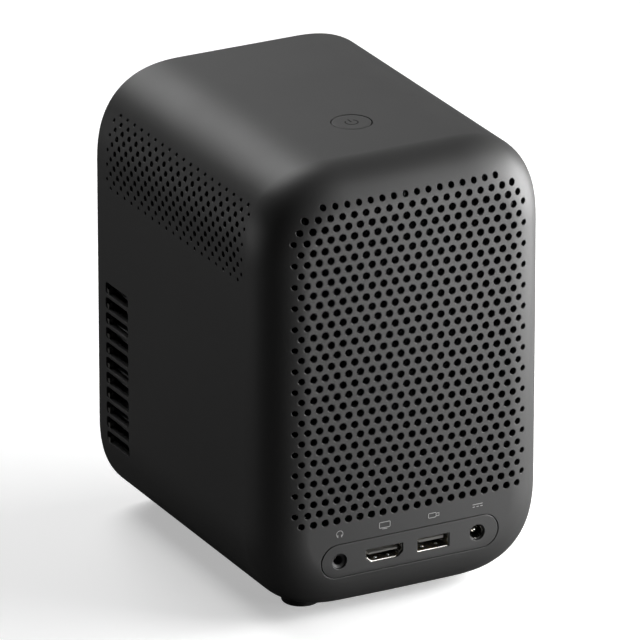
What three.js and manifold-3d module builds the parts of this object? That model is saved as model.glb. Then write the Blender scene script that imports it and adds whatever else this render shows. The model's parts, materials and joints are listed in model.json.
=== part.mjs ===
// Upright home projector: a one-piece rounded housing, a crowned front panel with a motor-focused lens,
// a centrifugal blower and an axial fan for cooling, two side speakers and a row of rear sockets.
// Millimetres, +Z up, the lens looks along -Y, and the origin is on the table under the middle of the body.
import * as THREE from "three";
import { mergeVertices } from "three/addons/utils/BufferGeometryUtils.js";
import Module from "manifold-3d";

const wasm = await Module();
wasm.setup();

// ---- Driving dimensions ----
const BODY = { width: 113, height: 165, wall: 2.3 };
const FOOT = { height: 2.5, radius: 7, recess: 1.3, x: 30.4, rearY: 41.6, frontY: -38 };
const CORNER = { reach: 34.3, power: 2.52 }; // superelliptic corners of the section seen from behind
const REAR_EDGE = { reach: 28, power: 3.5 }; // superelliptic rounding of the rear edge
const REAR_Y = 67;
const RIM_Y = -64.5; // the housing's open front rim
const FRONT_Y = -67; // the foremost face, on the lens bezel
const GAP = 0.3; // air between pieces that rest on each other
const FIT = 0.25; // running clearance of sliding and turning pieces
const PAST = 1; // how far a cutter runs past the face that it cuts
const BOARD = 1.6; // thickness of a circuit board
const BOTTOM_Z = FOOT.height;
const TOP_Z = FOOT.height + BODY.height;
const SLOT = { count: 11, pitch: 5.73, length: 17.5, height: 4.5, corner: 1.1, topZ: 90, y: -49.4 };
const SOCKETS = { panelWidth: 70.5, panelHeight: 13, z: 23.5, plate: 2.1 };
const SOCKET_X = { headphone: 28.1, hdmi: 10.5, usb: -8.9, power: -26.6 };
const BUTTON = { radius: 7.1, y: 21.9, travel: 0.5 };
const LENS = { z: 122.5, aperture: 24, barrel: 17, cell: 14.2 };
const FOCUS = { module: 1, ringTeeth: 42, pinionTeeth: 12, ringLow: -45, ringHigh: -39, angle: 225 };
const BLOWER = { x: -6, z: 59.8, low: -60, high: -41.5, radius: 30, impeller: 25.5 };
const REAR_FAN = { z: 95, size: 70, low: 42, high: 57, rotor: 32 };
const SPEAKER = { y: 20, z: 133, length: 52, height: 29, outer: 49.5 };
const ENGINE = { width: 64, low: -30, high: 8, bottom: 98, top: 146, x: 2 };

// ---- Materials ----
function finish(color, roughness, metalness = 0) {
  return new THREE.MeshStandardMaterial({ color, roughness, metalness });
}

const MATERIAL = {
  shell: finish(0x48494a, 0.5),
  panel: finish(0x2c2d2e, 0.45),
  gloss: finish(0x0b0b0c, 0.08),
  blackPlastic: finish(0x161617, 0.6),
  rubber: finish(0x101010, 0.9),
  glass: finish(0x8fa3b8, 0.03),
  nickel: finish(0xc9c6bd, 0.28, 1),
  steel: finish(0x9a9c9e, 0.35, 1),
  aluminium: finish(0xb9bcbf, 0.4, 1),
  copper: finish(0xb87347, 0.35, 1),
  brass: finish(0xc7a455, 0.35, 1),
  board: finish(0x1d5a3a, 0.55),
  whitePlastic: finish(0xd8d8d4, 0.5),
  cone: finish(0x1b1b1c, 0.8),
  mesh: finish(0x0e0e0e, 0.85),
};

const projector = new THREE.Group();

/** Adds one named piece to the projector. */
function add(name, geometry, material) {
  const mesh = new THREE.Mesh(geometry, material);
  mesh.name = name;
  projector.add(mesh);
}

// ---- Cutting and joining ----
function solid(geometry) {
  const bare = geometry.index ? geometry.toNonIndexed() : geometry.clone();
  bare.deleteAttribute("normal");
  bare.deleteAttribute("uv");
  const merged = mergeVertices(bare, 1e-4);
  return new wasm.Manifold(
    new wasm.Mesh({
      numProp: 3,
      vertProperties: merged.attributes.position.array,
      triVerts: new Uint32Array(merged.index.array),
    }),
  );
}

function geometryOf(manifold) {
  const mesh = manifold.getMesh();
  return new THREE.BufferGeometry()
    .setAttribute("position", new THREE.BufferAttribute(mesh.vertProperties, 3))
    .setIndex(new THREE.BufferAttribute(mesh.triVerts, 1));
}

/** The first geometry with the others joined to it. */
function join(first, ...others) {
  return geometryOf(others.reduce((sum, geometry) => sum.add(solid(geometry)), solid(first)));
}

/** The first geometry with the others cut away. */
function cut(first, ...others) {
  return geometryOf(others.reduce((rest, geometry) => rest.subtract(solid(geometry)), solid(first)));
}

// ---- Simple solids ----
/** A box between two corners. */
function block([x0, y0, z0], [x1, y1, z1]) {
  const box = new THREE.BoxGeometry(x1 - x0, y1 - y0, z1 - z0);
  return box.translate((x0 + x1) / 2, (y0 + y1) / 2, (z0 + z1) / 2);
}

const AXIS_BASIS = {
  x: [new THREE.Vector3(0, 1, 0), new THREE.Vector3(0, 0, 1), new THREE.Vector3(1, 0, 0)],
  y: [new THREE.Vector3(0, 0, 1), new THREE.Vector3(1, 0, 0), new THREE.Vector3(0, 1, 0)],
  z: [new THREE.Vector3(1, 0, 0), new THREE.Vector3(0, 1, 0), new THREE.Vector3(0, 0, 1)],
};

/** Turns a geometry made along +Z so that it runs along the named axis. */
const along = (geometry, axis) => geometry.applyMatrix4(new THREE.Matrix4().makeBasis(...AXIS_BASIS[axis]));

/** A cylinder along an axis from low to high, round the point (a, b) of the plane across it. */
function rod(axis, radius, low, high, center, sides = 16, topRadius = radius) {
  const body = new THREE.CylinderGeometry(topRadius, radius, high - low, sides).rotateX(Math.PI / 2);
  body.translate(0, 0, (low + high) / 2);
  return along(body, axis).translate(...center);
}

/** A ring along an axis, with a bore right through it. */
function ring(axis, outer, inner, low, high, center, sides = 24) {
  const profile = [
    [inner, low],
    [outer, low],
    [outer, high],
    [inner, high],
    [inner, low],
  ];
  return turned(axis, profile, center, sides);
}

/** A profile of [radius, height] points, in order up the outside, turned round an axis. */
function turned(axis, profile, center, sides = 24) {
  const points = profile.map(([r, h]) => new THREE.Vector2(r, h));
  return along(new THREE.LatheGeometry(points, sides).rotateX(Math.PI / 2), axis).translate(...center);
}

/** A flat shape pushed along an axis from low to high. Its plane is (z, x) on y and (y, z) on x. */
function pushed(axis, shape, low, high, curveSegments = 3) {
  const body = new THREE.ExtrudeGeometry(shape, { depth: high - low, bevelEnabled: false, curveSegments });
  return along(body.translate(0, 0, low), axis);
}

/** A rectangle with rounded corners, centred on (u, v). */
function roundedRectangle(u, v, width, height, radius) {
  const shape = new THREE.Shape();
  const [left, right, low, high] = [u - width / 2, u + width / 2, v - height / 2, v + height / 2];
  shape.moveTo(left + radius, low).lineTo(right - radius, low);
  shape.absarc(right - radius, low + radius, radius, -Math.PI / 2, 0, false);
  shape.lineTo(right, high - radius);
  shape.absarc(right - radius, high - radius, radius, 0, Math.PI / 2, false);
  shape.lineTo(left + radius, high);
  shape.absarc(left + radius, high - radius, radius, Math.PI / 2, Math.PI, false);
  shape.lineTo(left, low + radius);
  shape.absarc(left + radius, low + radius, radius, Math.PI, 1.5 * Math.PI, false);
  return shape;
}

/** A rectangle with its corners cut off, centred on (u, v). */
function chamferedRectangle(u, v, width, height, chamfer) {
  const [w, h] = [width / 2, height / 2];
  const quarter = [[w, h - chamfer], [w - chamfer, h]];
  const mirrored = quarter.map(([a, b]) => [-a, b]).reverse();
  const upper = [...quarter, ...mirrored];
  const lower = upper.map(([a, b]) => [-a, -b]);
  return new THREE.Shape([...upper, ...lower].map(([a, b]) => new THREE.Vector2(u + a, v + b)));
}

// ---- The body's form ----
/** A cosine or sine bent onto the corners' superellipse of unit reach. */
function bend(value) {
  const clean = Math.abs(value) < 1e-9 ? 0 : value;
  return Math.sign(clean) * Math.abs(clean) ** (2 / CORNER.power);
}

/** The section seen from behind, set in by inset: a rectangle with superelliptic corners, as [x, z]. */
function section(inset, pointsPerCorner = 8) {
  const reach = CORNER.reach - inset;
  const half = BODY.width / 2 - CORNER.reach;
  const [low, high] = [BOTTOM_Z + CORNER.reach, TOP_Z - CORNER.reach];
  const points = [];
  for (let corner = 0; corner < 4; corner++) {
    for (let i = 0; i < pointsPerCorner; i++) {
      const turn = ((corner + i / (pointsPerCorner - 1)) * Math.PI) / 2;
      const centerX = corner === 0 || corner === 3 ? half : -half;
      const centerZ = corner < 2 ? high : low;
      points.push([centerX + reach * bend(Math.cos(turn)), centerZ + reach * bend(Math.sin(turn))]);
    }
  }
  return points;
}

/** Rings of [x, z] points at rising y, joined by walls and closed by a flat cap at each end. */
function loft(rings) {
  const count = rings[0].points.length;
  const positions = rings.flatMap(({ y, points }) => points.flatMap(([x, z]) => [x, y, z]));
  const index = [];
  for (let r = 0; r + 1 < rings.length; r++) {
    for (let i = 0; i < count; i++) {
      const [a, b] = [r * count + i, r * count + ((i + 1) % count)];
      index.push(a, a + count, b, b, a + count, b + count);
    }
  }
  const last = (rings.length - 1) * count;
  const flat = (points) => points.map(([x, z]) => new THREE.Vector2(x, z));
  const capOf = (points) => THREE.ShapeUtils.triangulateShape(flat(points), []);
  for (const [a, b, c] of capOf(rings[0].points)) index.push(a, b, c);
  for (const [a, b, c] of capOf(rings.at(-1).points)) index.push(last + a, last + c, last + b);
  return new THREE.BufferGeometry()
    .setAttribute("position", new THREE.Float32BufferAttribute(positions, 3))
    .setIndex(index);
}

/** The body's form from frontY to the rounded rear face, everything set in by inset. */
function bodyForm(inset, frontY) {
  const steps = 6;
  const reach = REAR_EDGE.reach - inset;
  const rings = [{ y: frontY, points: section(inset) }];
  for (let i = 0; i <= steps; i++) {
    const turn = (i / steps) * (Math.PI / 2);
    const setIn = reach * (1 - Math.max(Math.cos(turn), 0) ** (2 / REAR_EDGE.power));
    const drop = reach * (1 - Math.sin(turn) ** (2 / REAR_EDGE.power));
    rings.push({ y: REAR_Y - inset - drop, points: section(inset + (i === steps ? reach : setIn)) });
  }
  return loft(rings);
}

// ---- Housing ----
/** One row of air slots down a side wall, from x low to x high. */
function sideSlots(low, high) {
  const slots = [];
  for (let i = 0; i < SLOT.count; i++) {
    const z = SLOT.topZ - SLOT.height / 2 - i * SLOT.pitch;
    slots.push(pushed("x", chamferedRectangle(SLOT.y, z, SLOT.length, SLOT.height, SLOT.corner), low, high));
  }
  return slots;
}

const FOOT_PLACES = [
  ["front_left", FOOT.x, FOOT.frontY],
  ["front_right", -FOOT.x, FOOT.frontY],
  ["rear_left", FOOT.x, FOOT.rearY],
  ["rear_right", -FOOT.x, FOOT.rearY],
];
const SCREW = { head: 2.8, shank: 1.25, tip: 14.5, boss: 4.6, bossTop: 9.6, seat: 6.4 };
const SWITCH_POST = { x: 10, radius: 2, low: 158.6 };
const TRIPOD = { radius: 6, bore: 3.2, height: 7, wall: 2 };

/** The pill outline of the socket plate or its hole, on the (z, x) plane. */
function pill(width, height) {
  return roundedRectangle(SOCKETS.z, 0, height, width, height / 2 - 0.01);
}

function makeHousing() {
  const inner = BODY.width / 2 - BODY.wall;
  const middle = BODY.wall / 2; // joined pieces start halfway into the wall
  const shell = cut(bodyForm(0, RIM_Y), bodyForm(BODY.wall, RIM_Y - PAST));
  const atFeet = (radius, low, high, sides) =>
    FOOT_PLACES.map(([, x, y]) => rod("z", radius, low, high, [x, y, 0], sides));
  const bosses = atFeet(SCREW.boss, BOTTOM_Z + middle, SCREW.bossTop, 16);
  const posts = [-1, 1].map((side) =>
    rod("z", SWITCH_POST.radius, SWITCH_POST.low, TOP_Z - middle, [side * SWITCH_POST.x, BUTTON.y, 0], 10),
  );
  const tripodTop = BOTTOM_Z + TRIPOD.height;
  const tripodBoss = rod("z", TRIPOD.radius + TRIPOD.wall, BOTTOM_Z + middle, tripodTop, [0, 0, 0], 20);
  const footPockets = atFeet(FOOT.radius + GAP, BOTTOM_Z - PAST, BOTTOM_Z + FOOT.recess, 24);
  const headPockets = atFeet(SCREW.head + GAP, BOTTOM_Z, SCREW.seat, 12);
  const screwHoles = atFeet(SCREW.shank + GAP, BOTTOM_Z, SCREW.bossTop + PAST, 8);
  const panelHole = pushed("y", pill(SOCKETS.panelWidth, SOCKETS.panelHeight), REAR_Y - 8, REAR_Y + PAST, 5);
  const joined = join(shell, ...bosses, ...posts, tripodBoss);
  const housing = cut(
    joined,
    ...footPockets,
    ...headPockets,
    ...screwHoles,
    rod("z", TRIPOD.radius + GAP, BOTTOM_Z - PAST, tripodTop + PAST, [0, 0, 0], 20),
    rod("z", BUTTON.radius + GAP, TOP_Z - BODY.wall - PAST, TOP_Z + PAST, [0, BUTTON.y, 0], 32),
    panelHole,
    ...sideSlots(inner - PAST, inner + BODY.wall + PAST),
    ...sideSlots(-inner - BODY.wall - PAST, -inner + PAST),
  );
  add("housing", housing, MATERIAL.shell);
}

function makeFeet() {
  for (const [place, x, y] of FOOT_PLACES) {
    const profile = [
      [0, 0],
      [FOOT.radius - 0.6, 0],
      [FOOT.radius, 0.6],
      [FOOT.radius, BOTTOM_Z + FOOT.recess - GAP],
      [0, BOTTOM_Z + FOOT.recess - GAP],
    ];
    add(`foot_${place}`, turned("z", profile, [x, y, 0], 24), MATERIAL.rubber);
    const headLow = BOTTOM_Z + FOOT.recess + GAP;
    const screw = join(
      rod("z", SCREW.head, headLow, SCREW.seat - GAP, [x, y, 0], 12),
      rod("z", SCREW.shank, SCREW.seat - GAP - 0.5, SCREW.tip, [x, y, 0], 8),
    );
    add(`base_screw_${place}`, screw, MATERIAL.steel);
  }
  const tripodTop = BOTTOM_Z + TRIPOD.height - GAP;
  const tripodSocket = ring("z", TRIPOD.radius, TRIPOD.bore, BOTTOM_Z, tripodTop, [0, 0, 0], 20);
  add("tripod_socket", tripodSocket, MATERIAL.brass);
}

// ---- Front ----
const SENSOR = { z: 84, width: 28, height: 8 };
const LIGHT = { z: 70, radius: 1.2 };
const BEZEL = { throat: 16.5, backY: -57.4 };

function makeFront() {
  const edge = BODY.wall + GAP;
  const panelBack = RIM_Y + 5;
  const crown = [
    [RIM_Y + 3.2, edge],
    [RIM_Y + 0.3, edge],
    [RIM_Y - 0.5, edge + 1],
    [RIM_Y - 1.2, edge + 5],
    [RIM_Y - 1.7, edge + 13],
    [RIM_Y - 1.9, edge + 24],
  ].reverse();
  const plate = loft(crown.map(([y, inset]) => ({ y, points: section(inset) })));
  const hollow = loft(
    [
      [RIM_Y - 0.1, edge + 22],
      [RIM_Y + 0.3, edge + 13],
      [RIM_Y + 0.9, edge + 2.5],
      [RIM_Y + 4, edge + 2.5],
    ].map(([y, inset]) => ({ y, points: section(inset) })),
  );
  const sensorHole = pushed(
    "y",
    roundedRectangle(SENSOR.z, 0, SENSOR.height + 2 * GAP, SENSOR.width + 2 * GAP, SENSOR.height / 2),
    FRONT_Y - PAST,
    panelBack,
    4,
  );
  const front = cut(
    plate,
    hollow,
    rod("y", LENS.aperture + GAP, FRONT_Y - PAST, panelBack, [0, 0, LENS.z], 40),
    sensorHole,
    rod("y", LIGHT.radius + GAP, FRONT_Y - PAST, panelBack, [0, 0, LIGHT.z], 10),
  );
  add("front_panel", front, MATERIAL.panel);
  const bezel = [
    [BEZEL.throat, BEZEL.backY - 1],
    [LENS.aperture - 1.8, FRONT_Y + 0.6],
    [LENS.aperture - 1.1, FRONT_Y],
    [LENS.aperture, FRONT_Y + 0.5],
    [LENS.aperture, FRONT_Y + 4.8],
    [BEZEL.throat + 1.5, BEZEL.backY],
    [BEZEL.throat, BEZEL.backY],
    [BEZEL.throat, BEZEL.backY - 1],
  ];
  add("lens_bezel", turned("y", bezel, [0, 0, LENS.z], 40), MATERIAL.gloss);
  const sensor = pushed(
    "y",
    roundedRectangle(SENSOR.z, 0, SENSOR.height, SENSOR.width, SENSOR.height / 2 - 0.01),
    RIM_Y - 1.7,
    RIM_Y + 0.6,
    4,
  );
  add("sensor_window", sensor, MATERIAL.gloss);
  const light = rod("y", LIGHT.radius, RIM_Y - 1.6, RIM_Y + 1.5, [0, 0, LIGHT.z], 10);
  add("status_light", light, MATERIAL.whitePlastic);
}

// ---- Lens and focus drive ----
/** A spur gear's outline with straight-sided teeth, on the (z, x) plane, with a round bore. */
function gearShape(teeth, module, bore, phase) {
  const pitchRadius = (teeth * module) / 2;
  const [root, tip] = [pitchRadius - 1.05 * module, pitchRadius + 0.75 * module];
  const step = (2 * Math.PI) / teeth;
  const shape = new THREE.Shape();
  for (let i = 0; i < teeth; i++) {
    for (const [radius, share] of [[root, -0.33], [tip, -0.13], [tip, 0.13], [root, 0.33]]) {
      const angle = phase + (i + share) * step;
      const point = [radius * Math.cos(angle), radius * Math.sin(angle)];
      if (i === 0 && share === -0.33) shape.moveTo(...point);
      else shape.lineTo(...point);
    }
  }
  shape.holes.push(new THREE.Path().absarc(0, 0, bore, 0, 2 * Math.PI, true));
  return shape;
}

const PINION_PLACE = (() => {
  const distance = ((FOCUS.ringTeeth + FOCUS.pinionTeeth) * FOCUS.module) / 2 + 0.2;
  const angle = (FOCUS.angle * Math.PI) / 180;
  return [distance * Math.cos(angle), 0, LENS.z + distance * Math.sin(angle)];
})();
const MOTOR = { radius: 6, low: -57, high: -46.2, clampLow: -53, clampLength: 4 };
const BARREL = { bore: 14.7, front: -56.8, flange: 21, flangeY: -33.5, back: -30.3 };
const CELL = { front: -54.6, back: -34, frontBore: 12.3, rearBore: 10.5, seat: -39 };

function makeLens() {
  const center = [0, 0, LENS.z];
  const [motorX, , motorZ] = PINION_PLACE;
  const barrel = turned(
    "y",
    [
      [BARREL.bore, BARREL.front],
      [LENS.barrel, BARREL.front],
      [LENS.barrel, BARREL.flangeY],
      [BARREL.flange, BARREL.flangeY],
      [BARREL.flange, BARREL.back],
      [BARREL.bore, BARREL.back],
      [BARREL.bore, BARREL.front],
    ],
    center,
    32,
  );
  const [clampLow, clampHigh] = [MOTOR.clampLow, MOTOR.clampLow + MOTOR.clampLength];
  const web = block([LENS.barrel - 1, clampLow, -4], [BARREL.flange, clampHigh, 4]);
  web.rotateY((-FOCUS.angle * Math.PI) / 180).translate(...center);
  const ear = cut(
    join(rod("y", MOTOR.radius + 2.4, clampLow, clampHigh, [motorX, 0, motorZ], 16), web),
    rod("y", MOTOR.radius + GAP, clampLow - PAST, clampHigh + PAST, [motorX, 0, motorZ], 16),
    rod("y", LENS.barrel - 0.7, clampLow - PAST, clampHigh + PAST, center, 32),
  );
  add("lens_barrel", join(barrel, ear), MATERIAL.blackPlastic);

  const toPinion = Math.atan2(PINION_PLACE[0], PINION_PLACE[2] - LENS.z); // in the (z, x) plane
  const ringShape = gearShape(FOCUS.ringTeeth, FOCUS.module, LENS.barrel + FIT, toPinion);
  add(
    "focus_ring",
    pushed("y", ringShape, FOCUS.ringLow, FOCUS.ringHigh, 16).translate(0, 0, LENS.z),
    MATERIAL.whitePlastic,
  );
  const halfTooth = Math.PI / FOCUS.pinionTeeth;
  const pinionShape = gearShape(FOCUS.pinionTeeth, FOCUS.module, 1.1, toPinion + Math.PI + halfTooth);
  const pinion = pushed("y", pinionShape, FOCUS.ringLow, FOCUS.ringHigh, 3).translate(motorX, 0, motorZ);
  add("focus_pinion", pinion, MATERIAL.brass);
  const motor = join(
    rod("y", MOTOR.radius, MOTOR.low, MOTOR.high, [motorX, 0, motorZ], 20),
    rod("y", 0.8, MOTOR.high - 1, FOCUS.ringHigh - 0.5, [motorX, 0, motorZ], 8),
  );
  add("focus_motor", motor, MATERIAL.steel);

  const cell = [
    [CELL.frontBore, CELL.front],
    [LENS.cell, CELL.front],
    [LENS.cell, CELL.back],
    [CELL.rearBore, CELL.back],
    [CELL.rearBore, CELL.seat + 2],
    [CELL.frontBore, CELL.seat],
    [CELL.frontBore, CELL.front],
  ];
  add("lens_cell", turned("y", cell, center, 32), MATERIAL.blackPlastic);
  add("front_lens", dome(12, -54.4, -50.2, 2.3, center), MATERIAL.glass);
  add("rear_lens", dome(11.9, -44.6, -41.4, 1.6, center), MATERIAL.glass);
}

/** A round lens along Y that bulges towards -Y by crown. */
function dome(radius, front, back, crown, center) {
  const steps = 4;
  const profile = [];
  for (let i = 0; i <= steps; i++) {
    const share = i / steps;
    profile.push([radius * share, front - crown * (1 - share * share)]);
  }
  profile.push([radius, back], [0, back]);
  return turned("y", profile, center, 28);
}

function makeEngine() {
  const { low, high, bottom, top } = ENGINE;
  const [left, right] = [ENGINE.x - ENGINE.width / 2, ENGINE.x + ENGINE.width / 2];
  const body = block([left, low, bottom], [right, high, top]);
  const step = block([left - 1, low - 1, top - 9], [left + 18, high + 1, top + 1]);
  const mouth = rod("y", 13, low - 1, low + 12, [0, 0, LENS.z], 24);
  add("engine_housing", cut(body, step, mouth), MATERIAL.blackPlastic);
  const chipX = left - GAP;
  add("display_chip", block([chipX - 2, -20, 113], [chipX, -2, 131]), MATERIAL.gloss);
  const base = block([chipX - 4.3, -23, 110], [chipX - 2 - GAP, 1, 134]);
  const chipFins = [0, 1, 2, 3, 4, 5].map((i) => {
    const y = -22.4 + i * 4.4;
    return block([chipX - 9.5, y, 110], [chipX - 4, y + 1.2, 134]);
  });
  add("chip_heatsink", join(base, ...chipFins), MATERIAL.aluminium);
  const lampX = right + GAP;
  add("led_board", block([lampX, -26, 108], [lampX + 1.6, -2, 136]), MATERIAL.whitePlastic);
  add("cold_plate", block([lampX + 1.9, -28, 106], [lampX + 4.4, 0, 138]), MATERIAL.copper);
}

// ---- Cooling ----
/** A round heat pipe through the given points. */
function pipe(points, radius) {
  const stops = points.map((point) => new THREE.Vector3(...point));
  const extrudePath = new THREE.CatmullRomCurve3(stops, false, "centripetal");
  const round = new THREE.Shape().absarc(0, 0, radius, 0, 2 * Math.PI, false);
  return new THREE.ExtrudeGeometry(round, { steps: 18, curveSegments: 5, extrudePath, bevelEnabled: false });
}

const FINS = { inner: 40.5, outer: 52, low: -58.4, high: -41.2, bottom: 29.8, top: 89.8, count: 15 };

function makeCooling() {
  const pipeY = FINS.high + GAP + 2.5;
  for (const [name, x, z] of [["heat_pipe_outer", 49, 129], ["heat_pipe_inner", 43.2, 116]]) {
    const points = [
      [43.2, -9, z],
      [43.2, -20, z],
      [43.2, -30, z - 1.5],
      [(43.2 + x) / 2, pipeY, z - 10],
      [x, pipeY, z - 22],
      [x, pipeY, 70],
      [x, pipeY, 32],
    ];
    add(name, pipe(points, 2.5), MATERIAL.copper);
  }
  const plates = [];
  const step = (FINS.top - FINS.bottom - 0.6) / (FINS.count - 1);
  for (let i = 0; i < FINS.count; i++) {
    const z = FINS.bottom + i * step;
    plates.push(block([FINS.inner, FINS.low, z], [FINS.outer, FINS.high, z + 0.6]));
  }
  const back = block([FINS.inner, FINS.high - 1, FINS.bottom], [FINS.outer, FINS.high, FINS.top]);
  add("fin_stack", join(back, ...plates), MATERIAL.aluminium);
  makeBlower();
  makeRearFan();
}

/** The blower's round chamber with a straight mouth towards +X, on the (z, x) plane, grown by grow. */
function blowerOutline(grow) {
  const { x, z, radius } = BLOWER;
  const shape = new THREE.Shape();
  const mouthX = FINS.inner - 1;
  shape.moveTo(z + radius + grow, x).lineTo(z + radius + grow, mouthX);
  shape.lineTo(z - radius - grow, mouthX).lineTo(z - radius - grow, x);
  shape.absarc(z, x, radius + grow, Math.PI, 2 * Math.PI, false);
  return shape;
}

function makeBlower() {
  const { x, z, low, high, impeller } = BLOWER;
  const wall = 1.4;
  const mouth = FINS.inner - 1;
  const tub = cut(
    pushed("y", blowerOutline(wall), low, high - wall - GAP, 8),
    pushed("y", blowerOutline(0), low + wall, high, 8),
    block([mouth - 2, low + wall, z - 30], [mouth + 2, high, z + 30]),
    rod("y", 2.4, low - PAST, low + 3, [x, 0, z], 12),
  );
  add("blower_housing", tub, MATERIAL.blackPlastic);
  const cover = cut(
    pushed("y", blowerOutline(wall), high - wall, high, 8),
    rod("y", 19, high - wall - PAST, high + PAST, [x, 0, z], 24),
  );
  add("blower_cover", cover, MATERIAL.blackPlastic);
  const [bladeLow, bladeHigh] = [low + 3.2, high - wall - 2];
  const disc = rod("y", impeller, bladeLow - 1.2, bladeLow, [x, 0, z], 24);
  const hub = rod("y", 9, bladeLow - 0.5, bladeHigh - 2, [x, 0, z], 12);
  const rim = ring("y", impeller, impeller - 1.6, bladeHigh - 1.5, bladeHigh, [x, 0, z], 24);
  const blades = [];
  const bladeCount = 18;
  for (let i = 0; i < bladeCount; i++) {
    const blade = block([impeller - 7, bladeLow - 0.5, -0.4], [impeller - 0.5, bladeHigh - 0.5, 0.4]);
    blade.translate(-impeller, 0, 0).rotateY(0.55).translate(impeller, 0, 0);
    blades.push(blade.rotateY((i / bladeCount) * 2 * Math.PI).translate(x, 0, z));
  }
  const pin = rod("y", 1.9, low + 0.2, bladeLow, [x, 0, z], 10);
  add("blower_impeller", join(disc, hub, rim, pin, ...blades), MATERIAL.blackPlastic);
}

function makeRearFan() {
  const { z, size, low, high, rotor } = REAR_FAN;
  const frame = cut(
    pushed("y", roundedRectangle(z, 0, size, size, 5), low, high, 3),
    rod("y", rotor + 1, low - PAST, high + PAST, [0, 0, z], 36),
    ...[-1, 1].flatMap((sx) =>
      [-1, 1].map((sz) => rod("y", 1.7, low - PAST, high + PAST, [sx * 30.5, 0, z + sz * 30.5], 8)),
    ),
  );
  const struts = [0, 1, 2, 3].map((i) =>
    block([8, low, -1.2], [rotor + 2, low + 1.8, 1.2])
      .rotateY(((i + 0.5) * Math.PI) / 2)
      .translate(0, 0, z),
  );
  const seat = cut(
    rod("y", 13, low, low + 2.6, [0, 0, z], 24),
    rod("y", 2.2, low - 1, low + 4, [0, 0, z], 10),
  );
  add("rear_fan_frame", join(frame, seat, ...struts), MATERIAL.blackPlastic);
  const hub = rod("y", 13.5, low + 3.4, high - 0.8, [0, 0, z], 24);
  const blades = [];
  const bladeCount = 7;
  for (let i = 0; i < bladeCount; i++) {
    const blade = block([11, -6, -0.6], [rotor - 0.4, 6, 0.6]).rotateX(0.9);
    blades.push(
      blade
        .translate(0, (low + high) / 2 + 1.2, 0)
        .rotateY((i / bladeCount) * 2 * Math.PI)
        .translate(0, 0, z),
    );
  }
  const pin = rod("y", 1.8, low + 0.3, low + 4, [0, 0, z], 10);
  add("rear_fan_rotor", join(hub, pin, ...blades), MATERIAL.blackPlastic);
  const filter = pushed("y", roundedRectangle(z, 0, 112, 84, 8), 60.2, 61.2, 3);
  add("dust_filter", filter, MATERIAL.mesh);
}

// ---- Rear sockets ----
/** The section of an HDMI socket: wide above, with its lower corners cut off, on the (z, x) plane. */
function trapezoidOutline(width, height, x, z) {
  const [low, high] = [z - height / 2, z + height / 2];
  const [half, foot, shoulder] = [width / 2, width / 2 - 2.1, low + 1.7];
  const left = [[low, x - foot], [shoulder, x - half], [high, x - half]];
  const right = [[high, x + half], [shoulder, x + half], [low, x + foot]];
  return new THREE.Shape([...left, ...right].map(([v, u]) => new THREE.Vector2(v, u)));
}

const VIDEO = { width: 14.5, height: 5, depth: 11, sheet: 0.35 };
const VIDEO_TONGUE = { width: 11.8, bottom: -0.5, top: 0.7, low: -9.7, high: -0.9 };
const USB = { width: 12.8, height: 5.3, depth: 13, sheet: 0.35 };
const USB_TONGUE = { width: 11.2, bottom: 0.2, top: 1.9, low: -11.7, high: -0.8 };
const JACK = { depth: 13, width: 7, bore: 1.75, boreDepth: 11, collar: 2.6 };
const DC = { depth: 13, width: 8.8, barrel: 4.2, bore: 2.75, boreDepth: 10, pin: 1 };
const MOUTH_Y = REAR_Y - SOCKETS.plate - GAP; // where the sockets' shells end, behind the plate
const FLAT_Z = SOCKETS.z - 0.2; // middle of the two flat sockets

function makeSocketPlate() {
  const [back, front] = [REAR_Y - SOCKETS.plate, REAR_Y];
  const [cutLow, cutHigh] = [back - PAST, front + PAST];
  const [halfWidth, halfHeight] = [USB.width / 2, USB.height / 2];
  const plate = cut(
    pushed("y", pill(SOCKETS.panelWidth - 2 * GAP, SOCKETS.panelHeight - 2 * GAP), back, front, 6),
    rod("y", 2.9, cutLow, cutHigh, [SOCKET_X.headphone, 0, SOCKETS.z], 24),
    rod("y", 3.0, cutLow, cutHigh, [SOCKET_X.power, 0, SOCKETS.z], 24),
    pushed("y", trapezoidOutline(VIDEO.width, VIDEO.height, SOCKET_X.hdmi, FLAT_Z), cutLow, cutHigh),
    block(
      [SOCKET_X.usb - halfWidth, cutLow, FLAT_Z - halfHeight],
      [SOCKET_X.usb + halfWidth, cutHigh, FLAT_Z + halfHeight],
    ),
  );
  add("socket_panel", plate, MATERIAL.shell);
}

function makeVideoSocket() {
  const { width, height, depth, sheet } = VIDEO;
  const [outerWidth, outerHeight] = [width + 0.2, height + 0.2];
  const outer = trapezoidOutline(outerWidth, outerHeight, SOCKET_X.hdmi, FLAT_Z);
  const inner = trapezoidOutline(outerWidth - 0.8, outerHeight - 2 * sheet, SOCKET_X.hdmi, FLAT_Z);
  const shell = cut(
    pushed("y", outer, MOUTH_Y - depth, MOUTH_Y),
    pushed("y", inner, MOUTH_Y - depth + PAST, MOUTH_Y + PAST),
  );
  add("hdmi_shell", shell, MATERIAL.nickel);
  add("hdmi_tongue", tongue(VIDEO_TONGUE, SOCKET_X.hdmi), MATERIAL.blackPlastic);
}

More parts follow.
